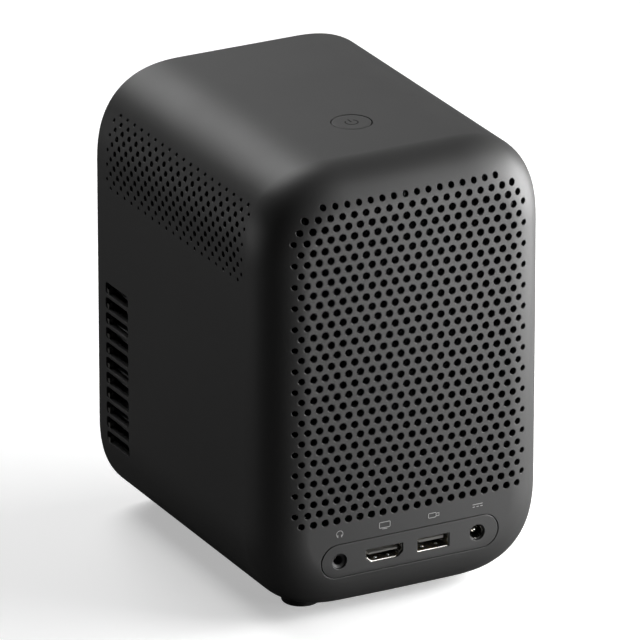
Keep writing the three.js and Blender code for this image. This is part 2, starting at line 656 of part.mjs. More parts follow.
function makeUsbSocket() {
  const { width, height, depth, sheet } = USB;
  const [halfWidth, halfHeight] = [width / 2 + 0.2, height / 2 + 0.2];
  const shell = cut(
    block(
      [SOCKET_X.usb - halfWidth, MOUTH_Y - depth, FLAT_Z - halfHeight],
      [SOCKET_X.usb + halfWidth, MOUTH_Y, FLAT_Z + halfHeight],
    ),
    block(
      [SOCKET_X.usb - halfWidth + sheet, MOUTH_Y - depth + PAST, FLAT_Z - halfHeight + sheet],
      [SOCKET_X.usb + halfWidth - sheet, MOUTH_Y + PAST, FLAT_Z + halfHeight - sheet],
    ),
  );
  add("usb_shell", shell, MATERIAL.nickel);
  add("usb_tongue", tongue(USB_TONGUE, SOCKET_X.usb), MATERIAL.whitePlastic);
}

/** The contact blade of a flat socket, with its place given from the socket's mouth and middle. */
function tongue({ width, bottom, top, low, high }, x) {
  return block(
    [x - width / 2, MOUTH_Y + low, FLAT_Z + bottom],
    [x + width / 2, MOUTH_Y + high, FLAT_Z + top],
  );
}

function makeRoundJacks() {
  const z = SOCKETS.z;
  const headphone = cut(
    join(
      rod("y", 3.6, MOUTH_Y - 6, MOUTH_Y, [SOCKET_X.headphone, 0, z], 20),
      rod("y", JACK.collar, MOUTH_Y - 1, REAR_Y - 0.8, [SOCKET_X.headphone, 0, z], 20),
      block(
        [SOCKET_X.headphone - JACK.width / 2, MOUTH_Y - JACK.depth, z - 2.8],
        [SOCKET_X.headphone + JACK.width / 2, MOUTH_Y - 1.5, z + 3],
      ),
    ),
    rod("y", JACK.bore, MOUTH_Y - JACK.boreDepth, REAR_Y, [SOCKET_X.headphone, 0, z], 16),
  );
  add("headphone_jack", headphone, MATERIAL.blackPlastic);

  const boreEnd = MOUTH_Y - DC.boreDepth;
  const power = cut(
    join(
      rod("y", DC.barrel, MOUTH_Y - 8, MOUTH_Y, [SOCKET_X.power, 0, z + 0.2], 20),
      block(
        [SOCKET_X.power - DC.width / 2, MOUTH_Y - DC.depth, z - 2.8],
        [SOCKET_X.power + DC.width / 2, MOUTH_Y - 1.5, z + 4.8],
      ),
    ),
    rod("y", DC.bore, boreEnd, MOUTH_Y + PAST, [SOCKET_X.power, 0, z], 20),
    rod("y", DC.pin - 0.1, MOUTH_Y - DC.depth - PAST, boreEnd + PAST, [SOCKET_X.power, 0, z], 8),
  );
  add("power_jack", power, MATERIAL.blackPlastic);
  const pin = rod("y", DC.pin, boreEnd + GAP, MOUTH_Y - 1.1, [SOCKET_X.power, 0, z], 12);
  add("power_jack_pin", pin, MATERIAL.nickel);
}

function makeSockets() {
  makeSocketPlate();
  makeVideoSocket();
  makeUsbSocket();
  makeRoundJacks();
  const boardTop = SOCKETS.z - DC.barrel - GAP;
  add("socket_board", block([-38, 24, boardTop - BOARD], [38, 61, boardTop]), MATERIAL.board);
}

// ---- Power button ----
const SWITCH = { half: 3, low: 158.6, high: 161.6, plunger: 1.5, plungerLow: 160.7, plungerTop: 162.6 };

function makeButton() {
  const center = [0, BUTTON.y, 0];
  const top = TOP_Z - 0.05;
  const flangeHigh = TOP_Z - BODY.wall - GAP;
  const cap = join(
    rod("z", BUTTON.radius, flangeHigh - 0.6, top, center, 32),
    rod("z", BUTTON.radius + 0.9, flangeHigh - 1, flangeHigh, center, 32),
    rod("z", 1.8, SWITCH.plungerTop + GAP, flangeHigh, center, 12),
  );
  add("power_button", cap, MATERIAL.shell);
  const plunger = rod("z", SWITCH.plunger, SWITCH.plungerLow, SWITCH.plungerTop, center, 12);
  add("switch_plunger", plunger, MATERIAL.whitePlastic);
  const { half, low, high } = SWITCH;
  const pocketLow = SWITCH.plungerLow - BUTTON.travel - 0.2;
  const body = cut(
    block([-half, BUTTON.y - half, low], [half, BUTTON.y + half, high]),
    rod("z", SWITCH.plunger + FIT, pocketLow, high + PAST, center, 12),
  );
  add("power_switch", body, MATERIAL.steel);
  const boardHigh = SWITCH.low - GAP;
  const board = block([-13, BUTTON.y - 5, boardHigh - 1.2], [13, BUTTON.y + 5, boardHigh]);
  add("switch_board", board, MATERIAL.board);
}

// ---- Frame, boards, speakers ----
function makeFrame() {
  const tray = block([-37, -45, 10], [37, 50, 12]);
  const upright = block([-35, 12, 11], [35, 13.8, 150]);
  const postPlaces = [-33, 33].flatMap((x) => [28, 46].map((y) => [x, y, 0]));
  const boardPosts = postPlaces.map((place) => rod("z", 2.2, 11, 17.1, place, 10));
  const shelf = block([-24, -26, 94.5], [28, 13, 96.5]);
  const screwHoles = FOOT_PLACES.map(([, x, y]) => rod("z", SCREW.shank + GAP, 9, 13, [x, y, 0], 8));
  add("inner_frame", cut(join(tray, upright, shelf, ...boardPosts), ...screwHoles), MATERIAL.steel);
}

function makeBoards() {
  add("main_board", block([-45.6, -34, 30], [-44, 38, 112]), MATERIAL.board);
  const heatsinkFins = [0, 1, 2, 3, 4, 5, 6].map((i) =>
    block([-42, -14 + i * 4.5, 56], [-36.5, -12.8 + i * 4.5, 86]),
  );
  const heatsink = join(block([-43.7, -14, 56], [-41.5, 14.2, 86]), ...heatsinkFins);
  add("processor_heatsink", heatsink, MATERIAL.aluminium);
  add("power_board", block([44, -30, 32], [45.6, 38, 100]), MATERIAL.board);
  const coil = turned("x", [[2, 36.5], [9, 36.5], [9, 43.7], [2, 43.7], [2, 36.5]], [0, 8, 66], 20);
  add("power_coil", coil, MATERIAL.copper);
}

function makeSpeakers() {
  const { y, z, length, height, outer } = SPEAKER;
  const oval = (grow) => roundedRectangle(y, z, length + grow, height + grow, (height + grow) / 2 - 0.01);
  for (const [place, side] of [["left", 1], ["right", -1]]) {
    const mirrored = (geometry) => (side > 0 ? geometry : geometry.rotateZ(Math.PI).translate(0, 2 * y, 0));
    const basket = cut(
      pushed("x", oval(0), outer - 7, outer),
      pushed("x", oval(-4), outer - 2.2, outer + 1),
      pushed("x", oval(-10), outer - 5.8, outer),
      rod("x", 6.2, outer - 8, outer, [0, y, z], 20),
    );
    add(`speaker_${place}_basket`, mirrored(basket), MATERIAL.blackPlastic);
    const cone = join(
      pushed("x", oval(-5), outer - 1, outer - 0.4),
      rod("x", 5.2, outer - 4.4, outer - 0.5, [0, y, z], 20),
    );
    add(`speaker_${place}_cone`, mirrored(cone), MATERIAL.cone);
    const magnet = rod("x", 10, outer - 13.3, outer - 7.3, [0, y, z], 24);
    add(`speaker_${place}_magnet`, mirrored(magnet), MATERIAL.steel);
  }
}

makeHousing();
makeFeet();
makeFront();
makeLens();
makeEngine();
makeCooling();
makeSockets();
makeButton();
makeFrame();
makeBoards();
makeSpeakers();

export default projector;
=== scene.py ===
"""Looks of an upright home projector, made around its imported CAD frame.

The housing is one moulded shell: a tube with a superelliptic section whose rear end is rounded over and
crowned, pierced by rows of round holes at the rear and sides. Lengths inside the script are in millimetres
until a shape becomes an object, which is in metres like the frame.
"""

import json
import logging
import math
from collections.abc import Callable, Sequence
from dataclasses import dataclass, field
from enum import Enum
from typing import ClassVar

import bmesh
import bpy
import numpy as np
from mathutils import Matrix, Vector
from mathutils.geometry import delaunay_2d_cdt


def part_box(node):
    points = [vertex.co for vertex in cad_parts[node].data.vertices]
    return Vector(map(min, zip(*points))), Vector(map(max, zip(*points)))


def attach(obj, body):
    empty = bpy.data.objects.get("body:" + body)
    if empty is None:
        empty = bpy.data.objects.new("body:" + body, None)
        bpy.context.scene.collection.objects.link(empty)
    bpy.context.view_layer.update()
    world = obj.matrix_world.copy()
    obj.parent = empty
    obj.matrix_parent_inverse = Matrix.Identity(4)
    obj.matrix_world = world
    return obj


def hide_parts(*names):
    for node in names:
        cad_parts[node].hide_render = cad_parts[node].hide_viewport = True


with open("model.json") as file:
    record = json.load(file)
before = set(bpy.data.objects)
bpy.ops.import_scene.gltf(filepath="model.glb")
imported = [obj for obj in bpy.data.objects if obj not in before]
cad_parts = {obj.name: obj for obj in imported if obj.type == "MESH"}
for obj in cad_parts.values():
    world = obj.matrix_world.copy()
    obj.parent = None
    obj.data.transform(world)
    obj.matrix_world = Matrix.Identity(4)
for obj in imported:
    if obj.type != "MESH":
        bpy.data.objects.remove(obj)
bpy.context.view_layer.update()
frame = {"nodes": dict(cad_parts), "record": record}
LOG = logging.getLogger("projector")
METRES = 0.001
TURN = 2 * math.pi
SHARP_DEGREES = 32.0


def box_mm(node: str) -> np.ndarray:
    """The lowest and highest corners of a CAD node, in millimetres.

    Args:
        node: Name of the node.

    Returns:
        A (2, 3) array.
    """
    return np.array([list(corner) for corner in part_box(node)]) / METRES


# ---------------------------------------------------------------- shader helpers


class Value:
    """A shader socket, or a number, that takes part in arithmetic."""

    def __init__(self, graph: "Graph", source: object) -> None:
        """Keeps the graph and the socket or number."""
        self.graph = graph
        self.source = source

    def combine(self, operation: str, *others: object) -> "Value":
        """Adds one Math node of the given operation."""
        return self.graph.value("ShaderNodeMath", {"operation": operation}, dict(enumerate((self, *others))))

    def __add__(self, other: object) -> "Value":
        """Sum."""
        return self.combine("ADD", other)

    def __sub__(self, other: object) -> "Value":
        """Difference."""
        return self.combine("SUBTRACT", other)

    def __rsub__(self, other: object) -> "Value":
        """Difference with the number first."""
        return Value(self.graph, other).combine("SUBTRACT", self)

    def __mul__(self, other: object) -> "Value":
        """Product."""
        return self.combine("MULTIPLY", other)

    __radd__ = __add__
    __rmul__ = __mul__

    def between(self, low: float, high: float) -> "Value":
        """A smooth step that goes from 0 at low to 1 at high."""
        inputs = {"Value": self, "From Min": low, "From Max": high}
        return self.graph.value("ShaderNodeMapRange", {"interpolation_type": "SMOOTHSTEP"}, inputs)


class Graph:
    """The node tree of one material."""

    def __init__(self, name: str) -> None:
        """Makes an empty material of that name."""
        self.material = bpy.data.materials.new(name)
        self.material.use_nodes = True
        self.tree = self.material.node_tree
        self.tree.nodes.clear()

    def node(self, kind: str, settings: dict | None = None, inputs: dict | None = None) -> bpy.types.Node:
        """Adds a node of any kind.

        Args:
            kind: The node's type name.
            settings: Attributes set first. "stops" sets a colour ramp's positions and colours.
            inputs: Values or links of its sockets, by name or number.

        Returns:
            The node.
        """
        made = self.tree.nodes.new(kind)
        for key, value in (settings or {}).items():
            if key == "stops":
                self._set_stops(made.color_ramp, value)
            else:
                setattr(made, key, value)
        for key, value in (inputs or {}).items():
            source = value.source if isinstance(value, Value) else value
            if isinstance(source, bpy.types.NodeSocket):
                self.tree.links.new(source, made.inputs[key])
            else:
                made.inputs[key].default_value = source
        return made

    @staticmethod
    def _set_stops(ramp: bpy.types.ColorRamp, stops: Sequence[tuple[float, tuple]]) -> None:
        """Gives a colour ramp its stops.

        Args:
            ramp: The colour ramp.
            stops: Position and colour of each stop.
        """
        while len(ramp.elements) < len(stops):
            ramp.elements.new(0.5)
        for element, (position, colour) in zip(ramp.elements, stops):
            element.position = position
            element.color = colour

    def value(
        self, kind: str, settings: dict | None = None, inputs: dict | None = None, output: str | int = 0
    ) -> Value:
        """Adds a node and returns one of its outputs.

        Args:
            kind: The node's type name.
            settings: Attributes set first.
            inputs: Values or links of its sockets.
            output: Name or number of the output.

        Returns:
            The output.
        """
        return Value(self, self.node(kind, settings, inputs).outputs[output])

    def coordinates(self, scale: Sequence[float] = (1, 1, 1)) -> Value:
        """Object coordinates, stretched by a Mapping node."""
        place = self.value("ShaderNodeTexCoord", output="Object")
        return self.value("ShaderNodeMapping", {"vector_type": "POINT"}, {"Vector": place, "Scale": scale})

    def noise(self, scale: float, detail: float = 3.0, stretch: Sequence[float] = (1, 1, 1)) -> Value:
        """Fractal noise between 0 and 1, in cycles per metre.

        Args:
            scale: Cycles per metre.
            detail: How many finer layers are added.
            stretch: Factors along x, y and z.

        Returns:
            The noise.
        """
        inputs = {"Vector": self.coordinates(stretch), "Scale": scale, "Detail": detail, "Roughness": 0.55}
        return self.value("ShaderNodeTexNoise", None, inputs)

    def cells(self, scale: float, feature: str = "F1", distance: str = "EUCLIDEAN") -> Value:
        """Distance to the nearest point of a random cell pattern.

        Args:
            scale: Cells per metre.
            feature: What the distance is measured to.
            distance: How distance is measured.

        Returns:
            The distance.
        """
        settings = {"feature": feature, "distance": distance}
        if feature == "DISTANCE_TO_EDGE":
            settings.pop("distance")
        inputs = {"Vector": self.coordinates(), "Scale": scale}
        return self.value("ShaderNodeTexVoronoi", settings, inputs, "Distance")

    def blend(self, factor: Value, first: object, second: object) -> Value:
        """Mixes two colours."""
        inputs = {0: factor, 6: rgba(first), 7: rgba(second)}
        return self.value("ShaderNodeMix", {"data_type": "RGBA"}, inputs, 2)

    def bump(self, height: Value, distance: float, strength: float = 1.0) -> Value:
        """A normal raised by a height, whose full range stands the given distance in metres."""
        inputs = {"Height": height, "Distance": distance, "Strength": strength}
        return self.value("ShaderNodeBump", None, inputs)

    def surface(self, inputs: dict) -> bpy.types.Material:
        """Ends the graph in a Principled shader with those inputs.

        Args:
            inputs: Values or links of the shader's sockets.

        Returns:
            The finished material.
        """
        shader = self.node("ShaderNodeBsdfPrincipled", None, inputs)
        output = self.node("ShaderNodeOutputMaterial")
        self.tree.links.new(shader.outputs[0], output.inputs["Surface"])
        return self.material


def rgba(colour: object) -> object:
    """A colour with its alpha, or the Value given."""
    return colour if isinstance(colour, Value) else (*colour[:3], 1.0)


def scaled(colour: Sequence[float], factor: float) -> tuple[float, ...]:
    """A colour made lighter or darker."""
    return tuple(min(1.0, part * factor) for part in colour[:3])


# ---------------------------------------------------------------- finishes


@dataclass(frozen=True)
class Moulded:
    """Moulded plastic with a fine spark-eroded grain, faint flow mottling and uneven gloss."""

    name: str
    colour: tuple[float, float, float]
    roughness: float = 0.5
    grain: float = 0.00035
    grain_depth: float = 0.000012
    mottle: float = 0.07
    gloss: float = 0.5

    def make(self) -> bpy.types.Material:
        """Builds the material.

        Returns:
            The material.
        """
        graph = Graph(self.name)
        mottle = graph.noise(38.0, 4.0)
        speckle = graph.noise(0.8 / self.grain, 2.0)
        mix = mottle * 0.6 + speckle * 0.4
        colour = graph.blend(mix, scaled(self.colour, 1 - self.mottle), scaled(self.colour, 1 + self.mottle))
        handled = graph.noise(14.0, 5.0).between(0.35, 0.75)
        grain = graph.cells(1 / self.grain)
        return graph.surface(
            {
                "Base Color": colour,
                "Roughness": (handled - 0.5) * 0.07 + (speckle - 0.5) * 0.08 + self.roughness,
                "Specular IOR Level": self.gloss,
                "Normal": graph.bump(grain + speckle * 0.6, self.grain_depth),
            }
        )


@dataclass(frozen=True)
class Polished:
    """Glossy lacquered plastic with faint wiping marks and dust in its gloss."""

    name: str
    colour: tuple[float, float, float]
    roughness: float = 0.06

    def make(self) -> bpy.types.Material:
        """Builds the material.

        Returns:
            The material.
        """
        graph = Graph(self.name)
        wiped = graph.noise(60.0, 6.0, (1.0, 1.0, 0.25)).between(0.4, 0.8)
        dust = graph.noise(2600.0, 2.0).between(0.66, 0.74)
        colour = graph.blend(dust, self.colour, (0.05, 0.05, 0.052))
        return graph.surface(
            {
                "Base Color": colour,
                "Roughness": wiped * 0.05 + dust * 0.3 + self.roughness,
                "Coat Weight": 0.6,
                "Coat Roughness": 0.03,
                "Normal": graph.bump(graph.noise(45.0, 2.0), 0.00002, 0.4),
            }
        )


@dataclass(frozen=True)
class Metal:
    """Bare metal with drawn or turned marks, tarnish and fine pitting."""

    name: str
    colour: tuple[float, float, float]
    roughness: float = 0.3
    drawn: tuple[float, float, float] = (1.0, 1.0, 18.0)
    tarnish: tuple[float, float, float] = (0.2, 0.17, 0.13)

    def make(self) -> bpy.types.Material:
        """Builds the material.

        Returns:
            The material.
        """
        graph = Graph(self.name)
        marks = graph.noise(420.0, 6.0, self.drawn)
        stain = graph.noise(90.0, 5.0).between(0.5, 0.85)
        bright = graph.blend(marks, scaled(self.colour, 0.86), scaled(self.colour, 1.1))
        return graph.surface(
            {
                "Base Color": graph.blend(stain * 0.35, bright, self.tarnish),
                "Metallic": 1.0 - stain * 0.1,
                "Roughness": (marks - 0.5) * 0.16 + stain * 0.14 + self.roughness,
                "Normal": graph.bump(marks, 0.00001),
            }
        )


@dataclass(frozen=True)
class Elastic:
    """Matte rubber with a fine pebbled skin and dusty wear."""

    name: str
    colour: tuple[float, float, float] = (0.005, 0.005, 0.005)

    def make(self) -> bpy.types.Material:
        """Builds the material.

        Returns:
            The material.
        """
        graph = Graph(self.name)
        dust = graph.noise(220.0, 5.0).between(0.5, 0.8)
        pebbles = graph.cells(2200.0)
        return graph.surface(
            {
                "Base Color": graph.blend(dust, self.colour, scaled(self.colour, 2.4)),
                "Roughness": dust * 0.1 + 0.8,
                "Specular IOR Level": 0.3,
                "Normal": graph.bump(pebbles, 0.00003),
            }
        )


@dataclass(frozen=True)
class CoatedGlass:
    """Lens glass with a coating whose tint turns from violet to green towards the edge."""

    name: str
    clarity: float = 0.9

    def make(self) -> bpy.types.Material:
        """Builds the material.

        Returns:
            The material.
        """
        graph = Graph(self.name)
        facing = graph.value("ShaderNodeLayerWeight", None, {"Blend": 0.35}, "Facing")
        tints = [(0.0, (0.16, 0.12, 0.42, 1)), (0.55, (0.1, 0.3, 0.46, 1)), (1.0, (0.14, 0.44, 0.3, 1))]
        coating = graph.value("ShaderNodeValToRGB", {"stops": tints}, {"Fac": facing})
        dust = graph.noise(1800.0, 2.0).between(0.68, 0.76)
        return graph.surface(
            {
                "Base Color": coating,
                "Roughness": dust * 0.15 + 0.02,
                "IOR": 1.62,
                "Transmission Weight": self.clarity,
                "Coat Weight": 0.8,
                "Coat Roughness": 0.01,
            }
        )


@dataclass(frozen=True)
class CircuitBoard:
    """Laminate under solder mask, with raised tracks and tinned pads."""

    name: str
    mask: tuple[float, float, float] = (0.012, 0.075, 0.04)

    def make(self) -> bpy.types.Material:
        """Builds the material.

        Returns:
            The material.
        """
        graph = Graph(self.name)
        tracks = 1.0 - graph.cells(420.0, "DISTANCE_TO_EDGE").between(0.05, 0.09)
        pads = 1.0 - graph.cells(300.0, "F1", "CHEBYCHEV").between(0.16, 0.2)
        laid = graph.blend(tracks, self.mask, scaled(self.mask, 2.6))
        return graph.surface(
            {
                "Base Color": graph.blend(pads, laid, (0.62, 0.58, 0.5)),
                "Metallic": pads,
                "Roughness": graph.noise(900.0) * 0.12 + 0.3,
                "Normal": graph.bump(tracks + pads * 0.6, 0.00004),
            }
        )


@dataclass(frozen=True)
class WovenFilter:
    """Dark filter cloth: threads crossing at right angles over and under, coloured lighter on their crowns
    and darker in the weave's hollows as painted shade.
    """

    name: str
    pitch: float = 0.0009
    colour: tuple[float, float, float] = (0.016, 0.016, 0.017)

    def make(self) -> bpy.types.Material:
        """Builds the material.

        Returns:
            The material.
        """
        graph = Graph(self.name)
        across, up = (
            graph.value("ShaderNodeSeparateXYZ", None, {"Vector": graph.coordinates()}, axis) for axis in "XZ"
        )
        warp = (across * (TURN / self.pitch)).combine("SINE")
        weft = (up * (TURN / self.pitch)).combine("SINE")
        weave = warp * weft * 0.5 + 0.5
        fuzz = graph.noise(2400.0, 3.0)
        # Colour follows the weave's height, lighter on the threads' crowns and darker in the hollows between
        # them: painted shade. The fuzz share is random tone.
        crown_shade_and_fuzz = weave * 0.7 + fuzz * 0.3
        return graph.surface(
            {
                "Base Color": graph.blend(crown_shade_and_fuzz, scaled(self.colour, 0.4), scaled(self.colour, 1.8)),
                "Roughness": fuzz * 0.1 + 0.8,
                "Normal": graph.bump(weave, 0.0002),
            }
        )


@dataclass(frozen=True)
class PressedPaper:
    """Pressed paper pulp of a speaker cone, with fibres lying every way."""

    name: str
    colour: tuple[float, float, float] = (0.018, 0.018, 0.019)

    def make(self) -> bpy.types.Material:
        """Builds the material.

        Returns:
            The material.
        """
        graph = Graph(self.name)
        fibres = graph.noise(1500.0, 6.0, (1.0, 0.3, 1.0))
        return graph.surface(
            {
                "Base Color": graph.blend(fibres, scaled(self.colour, 0.6), scaled(self.colour, 1.9)),
                "Roughness": fibres * 0.15 + 0.75,
                "Normal": graph.bump(fibres, 0.00008),
            }
        )


class Finish(Enum):
    """Every finish on the projector, named as its material slot in the record where it has one."""

    DARK_SHELL = Moulded("dark_shell", (0.0360, 0.0358, 0.0355), 0.50, 0.0004, 0.000008, 0.05, 0.5)
    FRONT_PANEL = Moulded("front_panel", (0.012, 0.012, 0.0125), 0.42, 0.0003, 0.000006)
    GLOSS_BLACK = Polished("gloss_black", (0.004, 0.004, 0.0045))
    BLACK_PLASTIC = Moulded("black_plastic", (0.014, 0.014, 0.0145), 0.55, 0.0005, 0.00002)
    SPEAKER_CONE = PressedPaper("speaker_cone")
    RUBBER = Elastic("rubber")
    WHITE_PLASTIC = Moulded("white_plastic", (0.6, 0.6, 0.58), 0.42, 0.0006, 0.00001, 0.04)
    LENS_GLASS = CoatedGlass("lens_glass")
    BRASS = Metal("brass", (0.68, 0.46, 0.17), 0.26, (1.0, 14.0, 1.0), (0.25, 0.15, 0.06))
    STEEL = Metal("steel", (0.42, 0.43, 0.44), 0.34)
    NICKEL = Metal("nickel", (0.72, 0.7, 0.66), 0.2, (1.0, 10.0, 1.0), (0.4, 0.37, 0.32))
    ALUMINIUM = Metal("aluminium", (0.66, 0.67, 0.68), 0.33, (1.0, 1.0, 12.0), (0.45, 0.45, 0.45))
    COPPER = Metal("copper", (0.78, 0.37, 0.22), 0.3, (6.0, 1.0, 1.0), (0.25, 0.1, 0.06))
    CIRCUIT_BOARD = CircuitBoard("circuit_board")
    FILTER_MESH = WovenFilter("filter_mesh")
    PRINT = Moulded("mark_print", (0.33, 0.33, 0.325), 0.5, 0.0002, 0.000003, 0.05)
    CONTACT_GOLD = Metal("contact_gold", (0.85, 0.62, 0.25), 0.22, (1.0, 8.0, 1.0), (0.5, 0.35, 0.15))
    # Dark colour of the button's mark: painted shade standing in for the shade inside an engraved symbol.
    ENGRAVED_SHADE = Moulded("mark_engraved_shade", (0.006, 0.006, 0.006), 0.7, 0.0002, 0.000003, 0.05, 0.15)
    SOCKET_BLACK = Moulded("socket_black", (0.02, 0.02, 0.02), 0.45, 0.0005, 0.00001)
    SOCKET_GREY = Moulded("socket_grey", (0.11, 0.108, 0.1), 0.45, 0.0005, 0.00001)


class Paintbox:
    """Makes each finish's material once and hands it out."""

    def __init__(self) -> None:
        """Starts with nothing made."""
        self._made: dict[Finish, bpy.types.Material] = {}

    def of(self, finish: Finish) -> bpy.types.Material:
        """The material of a finish.

        Args:
            finish: Which finish.

        Returns:
            Its material.
        """
        if finish not in self._made:
            self._made[finish] = finish.value.make()
        return self._made[finish]


PAINTS = Paintbox()


# ---------------------------------------------------------------- meshes


@dataclass
class Shape:
    """Points, their normals and faces, gathered part by part before they become one mesh."""

    points: list[np.ndarray] = field(default_factory=list)
    normals: list[np.ndarray] = field(default_factory=list)
    smooth_faces: list[np.ndarray] = field(default_factory=list)
    flat_faces: list[np.ndarray] = field(default_factory=list)
    count: int = 0

    def add_points(self, points: np.ndarray, normals: np.ndarray | None = None) -> np.ndarray:
        """Adds points and returns their numbers, in the same arrangement.

        Args:
            points: Array of any arrangement of 3-D points, in millimetres.
            normals: Their unit normals, or nothing where faces will be flat.

        Returns:
            The numbers of the points.
        """
        flat = points.reshape(-1, 3)
        self.points.append(flat)
        self.normals.append(np.zeros_like(flat) if normals is None else normals.reshape(-1, 3))
        numbers = np.arange(self.count, self.count + len(flat)).reshape(points.shape[:-1])
        self.count += len(flat)
        return numbers

    def join_loops(self, first: np.ndarray, second: np.ndarray, smooth: bool = False) -> None:
        """Walls between matching closed loops, as quads (next, this, this', next').

        Args:
            first: Point numbers, with the loops along the last axis.
            second: The matching loops.
            smooth: Whether the points' own normals shade the wall.
        """
        ahead, ahead_second = np.roll(first, -1, axis=-1), np.roll(second, -1, axis=-1)
        quads = np.stack([ahead, first, second, ahead_second], axis=-1).reshape(-1, 4)
        (self.smooth_faces if smooth else self.flat_faces).append(quads)

    def make(self, name: str, finish: Finish) -> bpy.types.Object:
        """Turns the shape into an object shaded by its own normals.

        Args:
            name: The object's name.
            finish: What it is made of.

        Returns:
            The object, at the origin.
        """
        points = np.concatenate(self.points) * METRES
        normals = np.concatenate(self.normals)
        faces = [*self.smooth_faces, *self.flat_faces]
        corner_normals = []
        for number, block in enumerate(faces):
            if number < len(self.smooth_faces):
                corner_normals.append(normals[block].reshape(-1, 3))
            else:
                first, second, third, last = (points[block[:, corner]] for corner in (0, 1, 2, -1))
                across = np.cross(third - first, last - second)
                across /= np.maximum(np.linalg.norm(across, axis=1, keepdims=True), 1e-20)
                corner_normals.append(np.repeat(across, block.shape[1], axis=0))
        mesh = bpy.data.meshes.new(name)
        mesh.from_pydata(points, [], [face for block in faces for face in block.tolist()])
        mesh.shade_smooth()
        mesh.normals_split_custom_set(np.concatenate(corner_normals).tolist())
        return place_object(name, mesh, finish)


def place_object(name: str, mesh: bpy.types.Mesh, finish: Finish) -> bpy.types.Object:
    """Puts a mesh into the scene as an object of one finish.

    Args:
        name: The object's name.
        mesh: Its mesh.
        finish: What it is made of.

    Returns:
        The object.
    """
    made = bpy.data.objects.new(name, mesh)
    bpy.context.scene.collection.objects.link(made)
    mesh.materials.append(PAINTS.of(finish))
    return made


def skinned(name: str, rings: np.ndarray, finish: Finish, cyclic: bool = False) -> bpy.types.Object:
    """A surface through rings of points, closed by caps or by meeting itself.

    The grid is point (i, j) = rings[i][j]; each cell is one quad, and rings shrunk to a point are welded.

    Args:
        name: The object's name.
        rings: (count, around, 3) points in millimetres, each ring closed.
        finish: What it is made of.
        cyclic: Whether the last ring joins the first, as on a tube with a wall.

    Returns:
        The object, with outward faces.
    """
    return welded(name, [(rings, cyclic)], finish)


def welded(name: str, parts: Sequence[tuple[np.ndarray, bool]], finish: Finish) -> bpy.types.Object:
    """One object from several ring surfaces, with edges bent by more than SHARP_DEGREES left sharp.

    Args:
        name: The object's name.
        parts: The rings of each surface, and whether its last ring joins its first.
        finish: What it is made of.

    Returns:
        The object, with outward faces.
    """
    points, faces, start = [], [], 0
    for rings, cyclic in parts:
        count, around = rings.shape[:2]
        numbers = start + np.arange(count * around).reshape(count, around)
        lower = numbers if cyclic else numbers[:-1]
        upper = np.roll(numbers, -1, axis=0) if cyclic else numbers[1:]
        quads = np.stack([lower, np.roll(lower, -1, axis=1), np.roll(upper, -1, axis=1), upper], axis=-1)
        faces.extend(quads.reshape(-1, 4).tolist())
        if not cyclic:
            faces.extend([numbers[0][::-1].tolist(), numbers[-1].tolist()])
        points.append(rings.reshape(-1, 3) * METRES)
        start += count * around
    mesh = bpy.data.meshes.new(name)
    mesh.from_pydata(np.concatenate(points), [], faces)
    work = bmesh.new()
    work.from_mesh(mesh)
    bmesh.ops.remove_doubles(work, verts=work.verts, dist=1e-7)
    bmesh.ops.dissolve_degenerate(work, edges=work.edges, dist=1e-8)
    bmesh.ops.recalc_face_normals(work, faces=work.faces)
    work.to_mesh(mesh)
    work.free()
    mesh.shade_smooth()
    mesh.set_sharp_from_angle(angle=math.radians(SHARP_DEGREES))
    return place_object(name, mesh, finish)


class Axis(Enum):
    """The way a turned piece points: (first across, second across, along)."""

    Y = (2, 0, 1)
    Z = (0, 1, 2)


def revolved(
    profile: Sequence[tuple[float, float]], centre: Sequence[float], axis: Axis, around: int = 64
) -> np.ndarray:
    """Rings of a profile turned round an axis: point = centre + radius (cos a, sin a) across + height along.

    Args:
        profile: (radius, height) pairs, in order.
        centre: A point on the axis; heights are measured from it.
        axis: The way the axis runs.
        around: Points in each ring.

    Returns:
        A (profile, around, 3) array.
    """
    radius, height = np.array(profile, dtype=float).T[:, :, None]
    angle = np.arange(around) / around * TURN
    first, second, along = axis.value
    rings = np.zeros((len(radius), around, 3))
    rings[..., first] = centre[first] + radius * np.cos(angle)
    rings[..., second] = centre[second] + radius * np.sin(angle)
    rings[..., along] = centre[along] + height
    return rings


def arc(
    centre: Sequence[float], radius: float, start: float, end: float, count: int = 6
) -> list[tuple[float, float]]:
    """Points on an arc between two angles in degrees."""
    angles = np.radians(np.linspace(start, end, count))
    return list(zip(centre[0] + radius * np.cos(angles), centre[1] + radius * np.sin(angles)))


def rounded_outline(width: np.ndarray, height: np.ndarray, radius: np.ndarray, around: int) -> np.ndarray:
    """Rectangles with round corners, centred on the origin, anticlockwise.

    A point is the corner's centre, (+-(width / 2 - radius), +-(height / 2 - radius)), plus radius times
    (cos a, sin a), with a quarter of the points on each corner.

    Args:
        width, height, radius: Arrays of one value for each outline.
        around: Points in each outline, a multiple of four.

    Returns:
        A (count, around, 2) array.
    """
    width, height, radius = (np.atleast_1d(value)[:, None] for value in (width, height, radius))
    quarter = around // 4
    share = np.arange(quarter) / max(quarter - 1, 1)
    angle = (np.arange(4)[:, None] + share).ravel() * TURN / 4
    sign_x = np.repeat([1, -1, -1, 1], quarter)
    sign_y = np.repeat([1, 1, -1, -1], quarter)
    across = sign_x * (width / 2 - radius) + radius * np.cos(angle)
    up = sign_y * (height / 2 - radius) + radius * np.sin(angle)
    return np.stack([across, up], axis=-1)


